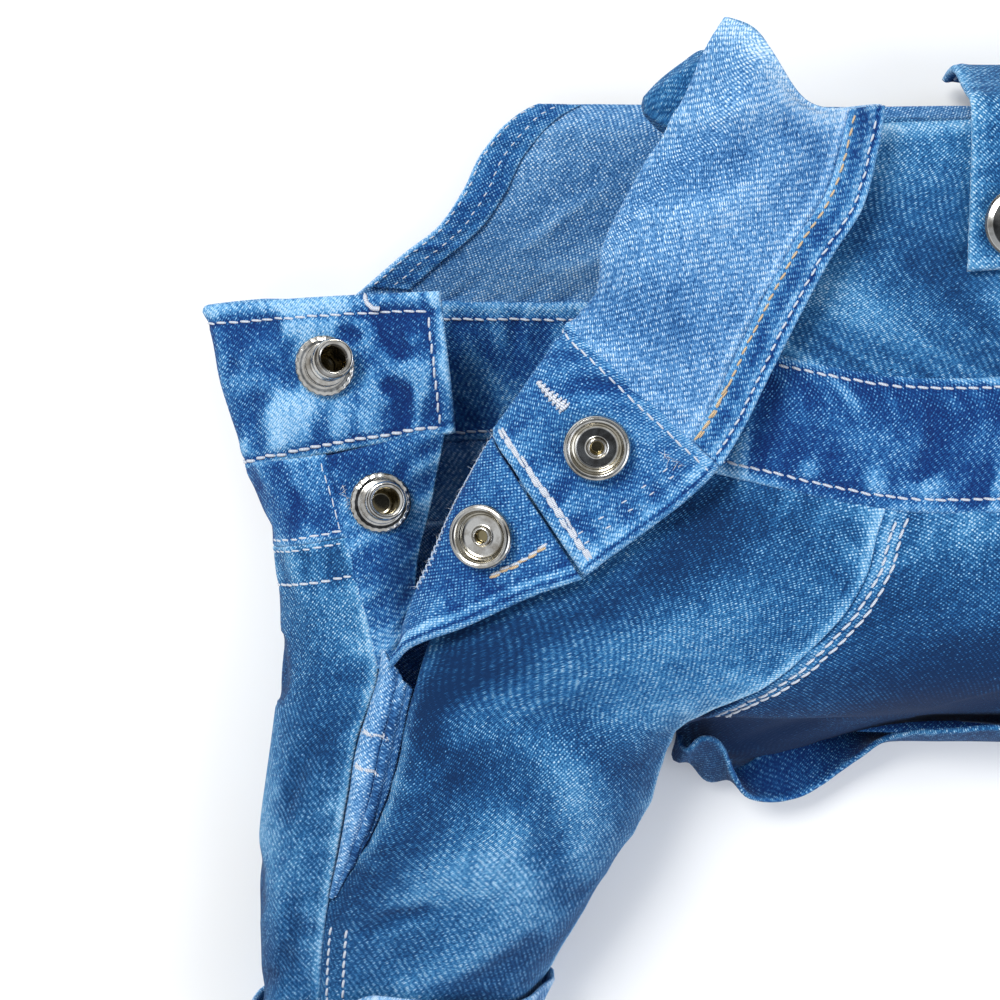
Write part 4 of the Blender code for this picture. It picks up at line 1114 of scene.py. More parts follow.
# The negative rubs below paint dark lines beside the stitch rows, as painted shade in their grooves.
back_band = dress("back_waistband", panel, height, BLUE, "gathered_denim", [
    ("top", 1.2, 2.4, 1.2), ("top", 4.6, 0.7, -1), ("low", 0.8, 1.2, 1.1), ("low", 2.9, 0.6, -0.9),
    ("start", 1, 1.4, 1.1), ("start", 4, 0.6, -0.8), ("end", 0, 1.2),
], fades_and_shades=[(14, 40, 18, 20, 0.75), (30, 38, 8, 12, 0.5), (20, 4, 26, 5, 0.6), (8, 49, 8, 9, 0.6),
          (24, 53, 6, 5, 0.35), (18, 14, 11, 9, -0.45)],
    ridges=(("top", 1.8, 1.4, 0.45), ("low", 1.2, 1, 0.3), ("start", 1.6, 1.2, 0.3)), half=BAND_HALF)
for seed, (side, distance, radius, sway) in enumerate((("top", 4.4, 0.3, 0.15), ("low", 2.6, 0.42, 0.3))):
    seam("back", back_band, side, distance, 3.6, 86, seed, radius=radius, sway=sway)
    seam("back", back_band, side, distance, 60, -4, seed + 9, inner=True)
    seam("back", back_band, side, distance, 329, -2, seed + 20)
seam("back", back_band, "start", 3.6, 2.6, -4.2, 2, radius=0.3, sway=0.15)

# %% [markdown]
# ## Back yoke and legs
#
# A narrow yoke joins the waistband to a leg at each side, with a row of topstitching below each seam. It
# runs from side seam to side seam in one piece, as it is cut. The legs are the least gathered cloth, so long
# slack creases do most of their form.

# %% Back yoke and legs
panel = lay(run_on(yoke_line, 0, -1, 0.1), -18.2, 2.6, step=1.2)
height = heights(panel, [("top", 3, 7, 0.6, 5, 7), ("low", 4, 8, 0.5, 5, 8)],
                 [(4, 22, 13, 30, 2, 0.8), (13, 8, 5, 14, 2.2, 0.6)], seed=9)
yoke = dress("back_yoke", panel, height, (gathered_blue, reverse), edges=[("top", 0, 1), ("low", 0, 1.2)],
             ridges=[("low", 0.9, 1, 0.35)])
seam("back", yoke, "low", 1.7, 0.5, 60, 31)
seam("back", yoke, "start", 1.5, 1, None, 46, radius=0.2)

panel = lay(lambda level: back_line(BACK, level), -146, -18, step=1.05)
height = heights(panel, [
    ("top", 5, 8, 0.8, 7, 12), ("start", 4, 9, 0.45, 5, 13), ("low", 5, 8, 0.4, 6, 14),
], [
    (117, 26, 99, 34, 4, 1.5), (96, 6, 70, 20, 3.2, 1), (60, 34, 44, 20, 4.2, 1.1), (36, 10, 14, 26, 3.6, 1),
    (84, 40, 70, 60, 4.5, 1.2), (52, 8, 30, 12, 2.6, 0.7), (24, 30, 6, 40, 4, 0.9),
], [("top", 9.6, 0.25), ("top", 1.4, 0.25)], slow=0.5, size=34, seed=15)
back_leg = dress("back_leg_right", panel, height, TWILL, edges=[("start", 0, 1.8), ("top", 0, 1.5)],
                 depth=0.8, fades_and_shades=[(70, 16, 34, 12, 0.35), (20, 18, 20, 14, 0.3), (126, 12, 6, 20, -0.35)],
                 ridges=[("start", 1.4, 1.1, 0.35), ("top", 1, 1, 0.3)])
seam("back", back_leg, "top", 1.4, 0.5, 62, 41, lift=0.66)
seam("back", back_leg, "top", 9.6, 0.5, 62, 42)
seam("legs", back_leg, "start", 1.3, 12, 48, 43, radius=0.2)
seam("back", back_leg, "start", 1.5, 108, None, 45, radius=0.2)

panel = lay(lambda level: back_line(LEFT_BACK, level), -70, -18, step=1.4, turn=-1)
height = heights(panel, [("top", 5, 8, 0.6, 6, 17)],
                 [(44, 12, 30, 26, 3.4, 0.9), (24, 20, 10, 12, 3, 0.8)], seed=18)
far_leg = dress("back_leg_left", panel, height, TWILL, edges=[("start", 0, 1.6), ("top", 0, 1.4)], depth=0.7)
seam("back", far_leg, "top", 1.4, 0.5, 60, 44)

# %% [markdown]
# ## Back bib and its facings
#
# The bib shows its reverse, and its armholes are edged with a narrow facing, turned in and stitched down
# twice. A strip laid on the grid's own edge keeps the armhole's curve with no drawing of its own.

# %% Back bib and its armhole facings
panel = lay(run_on(back_bib_line, 0, 1), -3.5, 46, step=0.95)
height = heights(panel, [("low", 3, 8, 0.5, 6, 21), ("start", 9, 9, 0.3, 5, 22)],
                 [(10, 40, 34, 52, 5, 0.7), (20, 24, 38, 34, 3, 0.5)], slow=0.35, seed=23)
dress("back_bib", panel, height, TWILL, "denim_reverse", [("start", 0, 1.6), ("end", 0, 1.6)],
      depth=0.9, held="laid")
FACING_STAND = 1.15      # middle of a facing above the middle of its panel


def facing_on(section, first, last, span, seed):
    """A narrow strip laid on the inside of a panel along its armhole edge, and its heights."""
    base = lay(section, first, last, step=0.6, span=span)
    strip = measured(base.points + base.inward * FACING_STAND, base.turn)
    return strip, heights(strip, [("start", 2.2, 5.5, 0.42, 4, seed), ("end", 2.2, 6, 0.42, 4, seed + 1)],
                          pulls=[("start", 1.9, 0.22, 0.6), ("end", 2.6, 0.22, 0.6)], slow=0.1, size=18,
                          seed=seed)


for side, border, span in (("right", "start", lambda total: (0.2, 10.4)),
                           ("left", "end", lambda total: (total - 10.2, total - 0.2))):
    strip, height = facing_on(back_bib_line, 0, 45, span, 25)
    strip = dress(f"back_facing_{side}", strip, height, BLUE, "gathered_denim",
                  [("start", 0, 1), ("end", 0, 1)], held="laid", facing=True, half=0.5)
    for distance in (0.8, 5.6):
        seam("back", strip, border, distance, 1, -1, 26, inner=True, pitch=2.6, length=1.6, radius=0.2)

# %% [markdown]
# ## Underlap placket
#
# The back's side edge carries on under the front as a placket, and the lower stud sits in it. Its pattern is
# a strip of its own, so it gets its own grid, carried on a little under the waistband and the leg.

# %% Underlap placket
panel = lay(widened(run_on(underlap_line, 0, 1, 0.3), before=lambda level: 2.2), -1.6, 48, step=0.6)
height = heights(panel, [("start", 2, 6, 0.5, 5, 33), ("end", 3, 7, 0.6, 5, 34)],
                 [(6, 18, 20, 12, 1.8, 0.7)], seed=35)
underlap = dress("back_underlap_right", panel, height, (gathered_blue, reverse), "gathered_denim",
                 [("end", 0, 1.3)])

# %% [markdown]
# ## The front
#
# The front's waistband and bib fold back on themselves at the unsnapped side, so the same piece shows its
# outer side at the right and its inside on the turned-back part. The fold is loose: nobody pressed it.

# %% Front waistband
panel = lay(front_line, 0, WAISTBAND_HEIGHT + 0.5, step=0.75)
height = heights(panel, [
    ("top", 6, 8, 1, 6, 41), ("low", 6, 8, 1, 6, 42), ("end", 6, 7, 0.8, 5, 43),
    ("low", 0.8, 2.2, 0.25, 1.6, 46), ("end", 0.8, 2.4, 0.25, 1.6, 47),
], [(8, 200, 24, 210, 2.4, 0.9), (26, 120, 8, 130, 3, 0.9), (6, 96, 20, 88, 2.6, 0.8)],
    [("top", 2.6, 0.28), ("low", 3.4, 0.28), ("end", 6.5, 0.28), ("end", 9, 0.28), ("end", 2.1, 0.7, 0.45)],
    slow=0.22, size=26, seed=45)
# The negative rub below paints a dark line in the valley between the doubled edge's two ridges, as painted
# shade.
front_band = dress("front_waistband", panel, height, BLUE, "gathered_denim", [
    ("top", 0, 1.6), ("low", 0, 2), ("end", 0.7, 1, 1.1), ("end", 2.1, 0.4, -1.7), ("end", 3.6, 1.4, 0.9),
], half=BAND_HALF, ridges=[("low", 1.4, 1.1, 0.35), ("end", 1.1, 0.7, 0.5), ("end", 3.3, 0.8, 0.4),
                           ("top", 1.2, 1, 0.3)])
seam("front", front_band, "top", 2.6, 1, None, 50)
seam("front", front_band, "low", 3.4, 1, None, 51)
seam("front", front_band, "top", 2.6, 1, None, 60, inner=True, radius=0.27)
for seed, distance in ((61, 6.5), (62, 9)):
    seam("front", front_band, "end", distance, 4, -4, seed, inner=True, pitch=6.0, length=1.7, radius=0.2)
for seed, offset, sway in ((70, -0.45, 0.2), (71, 0, 0.3), (72, 0.5, 0.2)):
    line = [(rise + offset, run) for rise, run in ((3, 227), (3.2, 240), (3.4, 252), (3.6, 264))]
    sew("front", on_cloth(front_band, line), seed, pitch=3.0, length=3.4, radius=0.36, sway=sway)
tack = on_cloth(front_band, [(17, 223), (17.6, 227), (18.6, 230.8)])
zigzag("front", tack, (1.2, 3.6), 0.62, 0.4, 73)

# %% [markdown]
# ## Front bib and its facing
#
# The turned-back bib shows the cloth's reverse with a faced armhole edge, sewn in tan on its inner side. Its
# weave runs straight along that edge, because the cutter lays the armhole's side to the grain.

# %% Front bib and its facing
panel = lay(front_line, WAISTBAND_HEIGHT - 0.9, 114, step=0.95)
height = heights(panel, [("low", 3, 8, 0.55, 7, 51), ("end", 9, 9, 0.35, 6, 52)], [
    (18, 218, 50, 232, 4, 0.9), (60, 200, 74, 226, 3.4, 1), (30, 160, 64, 150, 6, 1),
    (12, 90, 40, 70, 5, 0.8), (70, 140, 40, 120, 4, 0.8), (22, 30, 48, 44, 4.5, 0.8),
], slow=0.45, size=36, seed=55)
dress("front_bib", panel, height, TWILL, depth=0.8, weave_from="end",
      edges=[("start", 0, 1.6), ("top", 1.6, 3, 1.1), ("end", 10.5, 0.8, 0.8)])
strip, height = facing_on(front_line, WAISTBAND_HEIGHT + 0.3, 113.6, lambda total: (total - 9.4, total), 61)
# The negative rub below paints a dark line in the valley beside the edge ridge, as painted shade.
strip = dress("front_facing_right", strip, height, BLUE, "gathered_denim", [
    ("start", 0.5, 1.2, 1.2), ("end", 0.7, 0.9, 1.2), ("end", 2.1, 0.4, -1.2), ("end", 3.4, 0.9, 0.8),
], facing=True, half=0.55, ridges=[("end", 0.9, 0.8, 0.35)])
seam("tan", strip, "start", 1.3, 1, -1, 62, inner=True, pitch=2.6, length=2.3, radius=0.27)
seam("tan", strip, "start", 0.9, -0.9, 16, 64, inner=True, lift=0.6, radius=0.3)
seam("front", strip, "end", 2.3, 1, -1, 63, inner=True, pitch=2.6, length=2.2, radius=0.25)

# %% [markdown]
# ## Front legs
#
# The right leg's edge is free above and closed into the side seam below. The left leg is turned away at the
# rise, where only its topstitched edge and the seam's own allowance show. Each edge is carried on under its
# neighbour, because a seam is two layers and never a slit.

# %% Front legs
def seam_reach(level):
    """The side seam is closed below the opening: there the front's edge runs on under the back's."""
    return 5.5 * float(ramp((-94.0 - level) / 8))


def crotch_reach(level):
    """At the crotch the left front's edge runs on under the right front's."""
    return 1.6 + 7.5 * float(ramp((-57.0 - level) / 3) * ramp((level + 71.5) / 3))


def side_reach(level):
    """The closed side's front edge laps over the back from the waist to the hem."""
    return 7.0 * float(ramp((-3.0 - level) / 6) * np.clip((level + 72) / 8, 0.3, 1))


panel = lay(widened(run_on(leg_front_line, 0, -1, 0.35), after=seam_reach, drop=0.25), -146, 2.6, step=0.95)
height = heights(panel, [
    ("top", 3, 9, 0.6, 7, 71), ("end", 4, 9, 0.4, 5, 72), ("start", 4, 9, 0.45, 6, 73),
    ("low", 4, 8, 0.4, 6, 74),
], [
    (70, 30, 96, 60, 6, 1.1), (56, 16, 70, 44, 5, 1), (40, 20, 22, 44, 6, 1.2), (96, 10, 104, 40, 6, 0.9),
    (26, 24, 8, 34, 5, 0.9), (118, 50, 100, 70, 6, 0.8), (40, 66, 52, 56, 3, 1),
], slow=0.55, size=40, seed=75)
# The darker fades below are painted shadow cast by the turned-back front and the waistband, and painted shade
# along the side edge and the inseam, where the leg rounds away from the light.
leg = dress("front_leg_right", panel, height, TWILL, depth=1.0, fades_and_shades=[
    (70, 36, 30, 20, 0.7), (104, 30, 16, 16, 0.4), (24, 44, 20, 18, 0.35), (96, 63, 26, 9, -1.7),
    (122, 68, 13, 15, -1.3), (60, 70, 26, 6, -0.9), (138, 55, 9, 9, -1.1), (150, 46, 8, 9, -1.1),
    (161, 38, 7, 9, -1), (150, 30, 18, 20, -0.3), (168, 30, 7, 30, -0.5), (40, 12, 30, 9, -0.35),
], edges=[("end", 2.2, 2.4, 0.9), ("start", 0.8, 1.6, 1.1)])
for distance in (7.6, 12.2):
    seam("legs", leg, "end", distance, 1, 44, 87, lift=0.64)

left_front = run_on(run_on(left_front_line, 0, -1, 0.35), -70, -68, 0.5)
panel = lay(widened(left_front, before=crotch_reach, after=side_reach, drop=0.35), -75.4, 2.6, step=1.0,
            turn=-1)
height = heights(panel, [("top", 3, 9, 0.6, 7, 81), ("start", 4, 8, 0.5, 6, 82),
                         ("low", 3, 8, 0.4, 5, 83)], [
    (16, 20, 40, 34, 5, 1.1), (50, 60, 30, 96, 6, 1.2), (30, 120, 52, 150, 5, 1), (24, 60, 10, 100, 5, 1),
], [("start", 4.2, 0.25), ("start", 6.6, 0.25)], slow=0.5, seed=85)
# Most of the left leg's front is painted much darker, as painted shade on this lower, turned-away leg.
left_leg = dress("front_leg_left", panel, height, TWILL, depth=0.9, ridges=[("start", 1.6, 1.6, 0.5)],
                 edges=[("start", 3, 1.1, 1.3), ("start", 5.4, 0.9, 1.2), ("end", 0, 1.6)],
                 fades_and_shades=[(30, 26, 46, 70, -2.6), (90, 12, 20, 40, -0.7)])
for distance in (4.2, 6.6):
    seam("legs", left_leg, "start", distance, 45, -3, 86, lift=0.7)

# The crotch seam's allowance, from under the left front's edge to under the right front's. It is painted
# very dark all over, as painted shade where the two legs meet.
rise_edge = np.array([leg_front_line(level)[0] for level in np.arange(-28, -70, -0.5)])
share = np.linspace(0, 1, 11)[:, None]
tuck = np.array([3.0, 0, -1.3])          # how far the allowance goes in under the left front's edge
rows = []
for left in (left_front(level)[0] for level in np.linspace(-32, -58, 34)):
    right = rise_edge[np.argmin(np.linalg.norm(rise_edge - left, axis=1))]
    rows.append(mix(left + tuck, right + tuck * (-0.8, 1, 1), share) - (0, 0, 4) * share * (1 - share))
panel = measured(np.array(rows), -1)
dress("crotch_seam", panel, 0 * panel.run, TWILL, tone=-2.6, stands=False)

# %% [markdown]
# ## Turned-back placket
#
# Below the waistband the leg's side edge ends in a placket that carries the lower socket. It is turned back
# with the waistband, so its overlocked raw edge and a few loose fibres show. The edge is doubled, which
# reads as two pale ridges with a stitched valley between them.

# %% Turned-back placket
PLACKET_HALF = 0.75
panel = lay(placket_line, 0, 50, step=0.65, turn=-1)
height = heights(panel, [("end", 5, 8, 0.5, 5, 91), ("low", 4, 8, 0.5, 5, 92)], [(30, 26, 44, 20, 2.2, 0.8)],
                 [("end", 2.1, 0.75, 0.45)], seed=95)
# The negative rubs below paint dark lines in the stitched valley and beside the outer ridge, as painted
# shade.
placket = dress("front_placket_right", panel, height, BLUE, "gathered_denim", [
    ("end", 0.7, 1, 1.1), ("end", 2.1, 0.4, -1.7), ("end", 3.4, 0.9, 1), ("end", 4.9, 0.7, -0.4),
], half=PLACKET_HALF, ridges=[("end", 1.1, 0.7, 0.5), ("end", 3.3, 0.8, 0.45)])
for seed, offset, kind in ((96, -0.3, "front"), (97, 0.35, "tan")):
    sew(kind, on_cloth(placket, [(18 + offset, 31.2), (2 + offset, 41.6)]), seed, pitch=2.6, length=3.0,
        radius=0.34, sway=0.2)
raw_edge = on_cloth(placket, [(0.5, 13.6), (10, 13.8), (19.9, 13.2), (30.7, 13.2), (36, 12.5)])
zigzag("overlock", raw_edge, (2.2, 2.2), 0.8, 0.17, 98)
zigzag("back", raw_edge, (1.7, 1.7), 0.8, 0.17, 99)
fray("back", raw_edge, 60, 1.8, 0.07, 99)

# %% [markdown]
# ## Side lap
#
# In the side opening's foot the seam allowances lie as a double-folded lap between the back's edge and the
# front's ridge, caught down by two short bars of thread. It is laid between those two edges as they were
# worked out above, so it meets both along its whole length.

# %% Side lap
STRIP_TAIL = 8.0         # how far its foot runs on under the closed seam
TOP_CLIMB = 6.5          # how far its top runs up, at the back's side, and over how much that fades out
TOP_REACH = 16.0


def strip_line(level):
    """Section of the side lap, from the back's seam edge to the front's free edge."""
    seam_edge, free_edge = back_line(BACK, level)[0], leg_front_line(level)[-1]
    width = np.linalg.norm(free_edge - seam_edge)
    start, end = mix(seam_edge, free_edge, 0.4 / width), mix(free_edge, seam_edge, 0.4 / width)
    calm = min(1, width / 9)
    return smooth_line([mix(start, end, share) + (0, 0, rise * calm * 1.3) for share, rise in SIDE_STRIP], 8)


strip = lay(strip_line, STRIP_FOOT - STRIP_TAIL, STRIP_TOP + 1.5, step=0.55)
share = strip.run / strip.run[:, -1:]
climb = strip.points[-1] - strip.points[-8]
climb /= np.linalg.norm(climb, axis=1, keepdims=True)
lift = TOP_CLIMB * (1 - share) ** 1.3 * ramp(1 - strip.to_top / TOP_REACH) ** 2
panel = measured(strip.points + climb[None] * lift[..., None])
height = heights(panel, pulls=[("start", 5.6, 0.6, 0.45), ("start", 8.4, 0.6, 0.45)], slow=0.08, size=14,
                 seed=101)
# The negative rubs below paint dark lines along both stitch rows and a dark band along the front's side, as
# painted shade in the grooves and under the front's ridge.
lap = dress("side_strip_right", panel, height, (reverse, reverse), "denim_reverse", [
    ("start", 2.6, 2.2, 0.5), ("start", 5.6, 0.5, -1.6), ("start", 8.4, 0.55, -1.6), ("end", 0, 3, -0.9),
], half=0.5)
for seed, rise, last in ((140, 45.2, 9.5), (141, 36.2, 12)):
    for way in (0, 0.7):
        sew("back", on_cloth(lap, [(rise + way, 0.3), (rise - way, last)]), seed, pitch=3.2, length=3.4,
            radius=0.28, sway=0.3)
fray("back", on_cloth(lap, [(45, 0.3), (45, 9)]), 26, 1.6, 0.08, 141)

# %% [markdown]
# ## Cuffs
#
# Each hem is turned up once to the outside, so a cuff shows the pale reverse. The right cuff is the leg's own
# ring moved out by a layer and hangs a little lower at its outer side. The left one has fallen open at the
# front, which no offset could give, so its fold and its rim have a table of their own.

# %% Cuffs
CUFF_HALF = 0.7
RING_POINTS = 240
LEFT_CUFF_AROUND = 402   # millimetres round the left cuff
LEFT_CUFF_HEIGHT = 12.5
SNUG_FROM = 120          # X beyond which the left cuff's rim is drawn to the leg, over how far, and how much
SNUG_OVER = 22
SNUG = -4.8, 0, -3.6


def cuff_ring(level):
    """The right cuff's ring at one level: the leg's own ring, moved out."""
    ring = np.concatenate([leg_front_line(level), back_line(BACK, level)])
    ring = spaced(np.concatenate([ring, ring[:1]]), RING_POINTS + 1)[:-1]
    along = np.roll(ring, -8, axis=0) - np.roll(ring, 8, axis=0)
    out = np.stack([along[:, 2], np.zeros(len(ring)), -along[:, 0]], axis=1)
    out /= np.linalg.norm(out, axis=1, keepdims=True)
    out *= np.sign(np.sum(out * (ring - ring.mean(axis=0))))
    place = ring + out * CUFF_STAND
    place[:, 1] -= CUFF_SKEW * eased((CUFF_SKEW_FROM - place[:, 0]) / CUFF_SKEW_OVER)
    place[:, 2] = np.maximum(place[:, 2], FLOOR_Z)
    return place


ring = measured(np.array([cuff_ring(CUFF_TOP - CUFF_HEIGHT + rise) for rise in bordered(CUFF_HEIGHT, 0.8)]))
height = heights(ring, [("top", 3, 8, 0.4, 5, 111), ("low", 2, 8, 0.3, 5, 112)], slow=0.0, seed=113)
dress("cuff_right", ring, height, (reverse, gathered_blue), "denim_reverse",
      [("top", 0, 1.4), ("low", 0, 2)], half=CUFF_HALF, closed=True)

rows = LEFT_CUFF.rows
rows = np.concatenate([rows, rows[:1] + (LEFT_CUFF_AROUND, 0, 0, 0, 0, 0, 0)])
path = hermite(rows[:, 0], rows, np.arange(0, LEFT_CUFF_AROUND, 1))
share = (bordered(LEFT_CUFF_HEIGHT, 0.7) / LEFT_CUFF_HEIGHT)[:, None, None]
points = mix(path[:, 1:4], path[:, 4:7], share) + np.array(CUFF_SLACK) * 4 * share * (1 - share)
points += ramp((points[..., :1] - SNUG_FROM) / SNUG_OVER) * share * (points[..., 2:] > 3) * SNUG
points[..., 1] -= 1.8 * (1 - share[..., 0]) * ramp((2.8 - points[..., 2]) / 1.8)
points[..., 2] = np.maximum(points[..., 2], FLOOR_Z)
panel = measured(points, -1)
even = np.broadcast_to(panel.run.mean(axis=0), panel.run.shape).copy()
panel = panel._replace(run=even, to_end=even[:, -1:] - even)
height = heights(panel, [("top", 2, 9, 0.3, 4, 121)], slow=0.0, seed=122)
# The left cuff is painted darker all over, as painted shade beside the shaded left leg.
dress("cuff_left", panel, height, (washed, gathered_blue), edges=[("top", 0, 1.5), ("low", 0, 1.6)],
      tone=-0.9, half=CUFF_HALF, closed=True)

# %% [markdown]
# ## Bib fold and straps
#
# The bib's top is folded back under itself with the strap ends inside, which makes a soft roll that nothing
# opens, so it is one closed form with no inside. The straps come over it from the back and snap to it, and
# are sewn round three of their sides.

# %% Bib fold and straps
rows = BIB_FOLD.rows
cosine, sine = (np.sign(part) * np.abs(part) ** 0.8 for part in circle(96))
turns = np.linspace(0, 2 * math.pi, 97)[:-1]
sections = []
places = np.linspace(rows[0, 0] + 0.4, rows[-1, 0] - 0.4, 150)
for x, middle, depth, low, high in hermite(rows[:, 0], rows, places):
    swell = 1 + 0.05 * np.sin(3 * turns) + 0.035 * np.sin(9 * turns + x / 9)
    sections.append(np.stack([np.full_like(turns, x), middle + depth / 2 * cosine * swell,
                              mix(low, high, 0.5) + (high - low) / 2 * sine * swell], axis=1))
fold = np.array(sections)
centre = fold.mean(axis=1, keepdims=True)
caps = [[mix(centre[k], fold[k], s) + (side * 0.5 * (1 - s), 0, 0) for s in shares]
        for k, side, shares in ((0, -1, (0.02, 0.5, 0.85)), (-1, 1, (0.85, 0.5, 0.02)))]
fold = np.concatenate([caps[0], fold, caps[1]])
faces = quads_of(*fold.shape[:2], closed=True)[:, ::-1]
bib_fold = mesh_of("front_bib_fold_cloth", fold.reshape(-1, 3), faces, [washed])
panel = measured(fold)
keep_values(bib_fold, "cloth", np.stack([panel.run, panel.rise, 0 * panel.run], -1), "FLOAT_VECTOR")
stand_in(bib_fold, "front_bib_fold")

for name, middle in STRAPS:
    edges = middle - STRAP_WIDTH / 2 + bordered(STRAP_WIDTH, 0.8)
    panel = measured(np.array([spaced(strap_line(x), 90) for x in edges]), -1)
    sewn = ("low", "top", "start")
    height = heights(panel, [("low", 2.5, 6, 0.3, 3, 131), ("top", 2.5, 6, 0.3, 3, 132)],
                     pulls=[(side, 2.4, 0.25) for side in sewn], slow=0.12, seed=133)
    strap = dress(name, panel, height, (washed, washed), edges=[(side, 0, 1.3) for side in sewn], half=1.0)
    for side in sewn:
        seam("front", strap, side, 2.4, 1, -1, 134)

# %% [markdown]
# ## Snaps
#
# Ring snaps are pressed from brass strip and nickel plated: a stud with a toothed ring and a hollow post, a
# socket with a rolled rim and a sprung ring inside, and a plain cap on the cloth's other side. They are
# turned shapes, so each is a profile swept round, with fine rings where the real edge is rolled. The
# profile could be a curve with a Screw modifier, but swept points let the teeth be set into the ring.

# %% Nickel
metal, tree, shader = finish_of("nickel_plated_brass_rolled", Metallic=1.0)
node = partial(add, tree)
tarnish = node("TexNoise", out="Fac", inputs={"Vector": node("TexCoord", out="Object"), "Scale": 260.0,
                                              "Detail": 5.0, "Roughness": 0.6})
plated = coloured(node("ValToRGB", tarnish), ((0.3, "857E72"), (0.55, "CBCAC6")))
# Where the plating is bare the brass shows brown, and this darker brown also stands for painted shade in the
# hollows of the posts and sockets.
mixed = node("Mix", out="Result", data_type="RGBA",
             inputs={"Factor": node("Attribute", out="Fac", attribute_name="inside"), "A": plated,
                     "B": srgb("8A8062")})
tree.links.new(mixed, shader.inputs["Base Color"])
tree.links.new(node("Math", tarnish, 0.22, 0.06, operation="MULTIPLY_ADD"), shader.inputs["Roughness"])

# %% [markdown]
# ## The snaps' profiles
#
# Each profile is a list of (radius, height) pairs along the real edge: a rolled rim takes more of them than a
# flat. The post of each stud is bent over a little, as pressing it through thick cloth leaves it.

# %% Turned snaps
STEPS = 72               # round a snap
TEETH = 24
TOOTH_RING = 6.7         # radius at which the stud's ring is toothed, and how deep
TOOTH_DEPTH = 0.22
POST_FOOT = 0.9          # height above which a post is bent over
UPPER_SHARE = 0.62       # the first part of a profile, which faces up
STUD = ((0, 0.6), (2.2, 0.6), (2.75, 0.9), (2.9, 2.2), (3, 4), (3.2, 4.55), (3.7, 4.85), (4.25, 4.75),
        (4.6, 4.3), (4.65, 3.7), (4.35, 3.3), (4.2, 2.9), (4.2, 2.3), (4.5, 2.1), (5, 1.9), (5.1, 1.5),
        (4.9, 1.2), (5.4, 1), (6.2, 1.05), (6.9, 0.85), (7.2, 0.45), (7.1, 0.05), (6.4, -0.1), (0, -0.1))
SOCKET = ((0, 0), (1.25, 0.02), (1.45, 0.5), (1.55, 1.5), (1.75, 1.75), (2, 1.75), (2.2, 1.5), (2.3, 0.75),
          (2.7, 0.6), (4.4, 0.6), (4.9, 0.75), (5.1, 1.15), (5.45, 1.3), (5.6, 1.8), (5.75, 2.4), (6.1, 2.75),
          (6.55, 2.88), (7, 2.75), (7.35, 2.35), (7.5, 1.7), (7.35, 1.1), (6.9, 0.5), (6.2, 0.1), (0, -0.1))
CAP = ((0, 2.05), (2.5, 2), (4.6, 1.9), (6.4, 1.6), (7.5, 1.15), (8, 0.6), (7.8, 0.15), (7.2, 0), (0, 0))


def turned_points(profile, teeth):
    """Rings of a profile, given as (radius, height). teeth sets that many notches into its outermost ring."""
    far = distances(profile)
    fine = np.unique(np.concatenate([far, np.linspace(0, far[-1], 70)]))
    radius, height = read_at(fine, far, profile).T[..., None]
    cosine, sine = circle(STEPS)
    notch = np.zeros((len(fine), STEPS))
    if teeth:
        toothed = np.sign(np.sin(teeth * np.linspace(0, 2 * math.pi, STEPS + 1)[:-1]))
        notch = -TOOTH_DEPTH * soft((radius - TOOTH_RING) / 0.5) * (height > 0.3) * (0.5 + 0.5 * toothed)
    return np.stack([(radius + notch) * cosine, (radius + notch) * sine, height + notch], axis=-1)


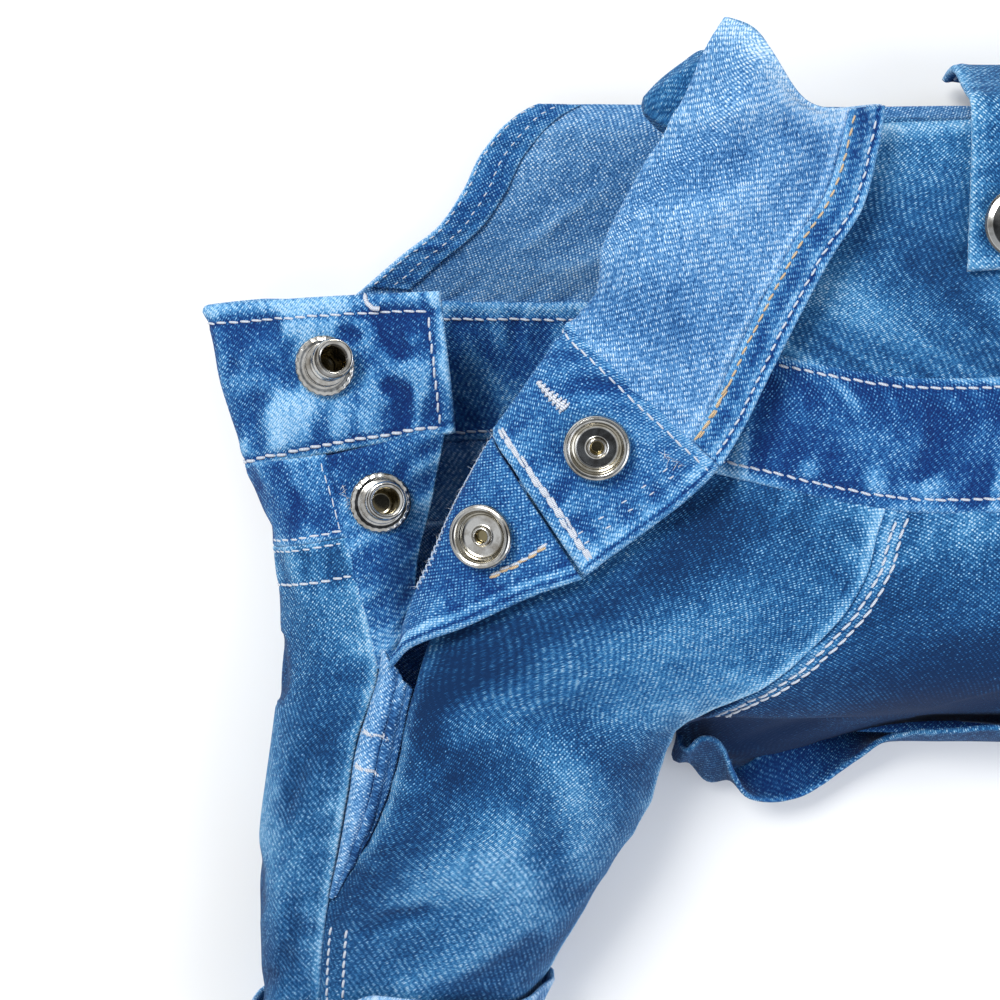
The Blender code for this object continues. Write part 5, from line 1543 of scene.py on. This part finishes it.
def set_snap(node, profile, teeth=0, lean=(0.0, 0.0), bare_and_shaded=()):
    """Stand a turned snap where its solid stands, on the same axis. lean is how far its post is bent over,
    in millimetres to the side for each millimetre of height. The last argument holds (from radius, to radius,
    share) where the brass shows brown under thin plating and is darkened as painted shade in the post's
    hollow and the socket's well."""
    points = np.array([v.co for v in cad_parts[node].data.vertices]) / MM
    centre = points.mean(axis=0)
    axis = np.linalg.svd(points - centre)[2][2]
    axis = axis * np.sign(axis[2])
    foot = centre + axis * ((points - centre) @ axis).min()
    beside = np.cross(axis, [0, 1, 0])
    beside /= np.linalg.norm(beside)
    rings = turned_points(profile, teeth)
    sway = np.clip(rings[..., 2:] - POST_FOOT, 0, None) * (*lean, 0)
    placed = foot + sway + rings @ np.array([beside, np.cross(axis, beside), axis])
    thing = mesh_of(node + "_metal", placed.reshape(-1, 3), quads_of(*rings.shape[:2], closed=True), [metal])
    radius = np.hypot(rings[:, :1, 0], rings[:, :1, 1])
    upper = np.arange(len(rings))[:, None] < len(rings) * UPPER_SHARE
    brown = sum(((radius >= first) & (radius < last) & upper) * share for first, last, share in bare_and_shaded)
    keep_values(thing, "inside", brown + np.zeros(rings.shape[:2]))
    stand_in(thing, node)


for place, lean in (("upper", (0.9, 0.7)), ("lower", (0.35, 0.3))):
    set_snap("snap_stud_" + place, STUD, TEETH, lean, ((0.0, 3.05, 0.75),))
    set_snap("snap_socket_" + place, SOCKET, bare_and_shaded=((0.0, 1.5, 1.0), (4.8, 6.0, 0.5)))
    set_snap("snap_cap_" + place, CAP)
for side in ("right", "left"):
    set_snap("snap_cap_strap_" + side, CAP)

# %% [markdown]
# ## Loose threads
#
# A worn garment carries a few ends of thread: a loop at the underlap's corner and fibres at the spots that
# rub. They are added last, and then all the stitches of one kind become one mesh.

# %% Loose threads
place, way = on_cloth(back_band, [(36.2, 17.6), (34.2, 17.4), (32.6, 16.4), (32.0, 14.8)], inner=False)
seams["back"].add(place + way * 0.4, way, np.linspace(0.5, 0.62, len(place)))
fray("back", on_cloth(underlap, [(8.0, 3.0), (14.0, 3.6)], inner=False), 24, 1.8, 0.09, 150)
fray("front", on_cloth(front_band, [(30.0, 247.0), (31.5, 252.0)]), 20, 2.2, 0.08, 151)
for name, surface in (("back", cream), ("front", cream), ("legs", cream), ("tan", tan),
                      ("overlock", blue_thread)):
    thing = seams[name].build("stitches_" + name, surface)
    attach(thing, "root")

# %% [markdown]
# ## Finish
#
# The last cell prints the size of the box round everything that was built and is shown.

# %% Sizes
low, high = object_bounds()
print("visual box in mm:", [round(v * 1000) for v in (high - low)])
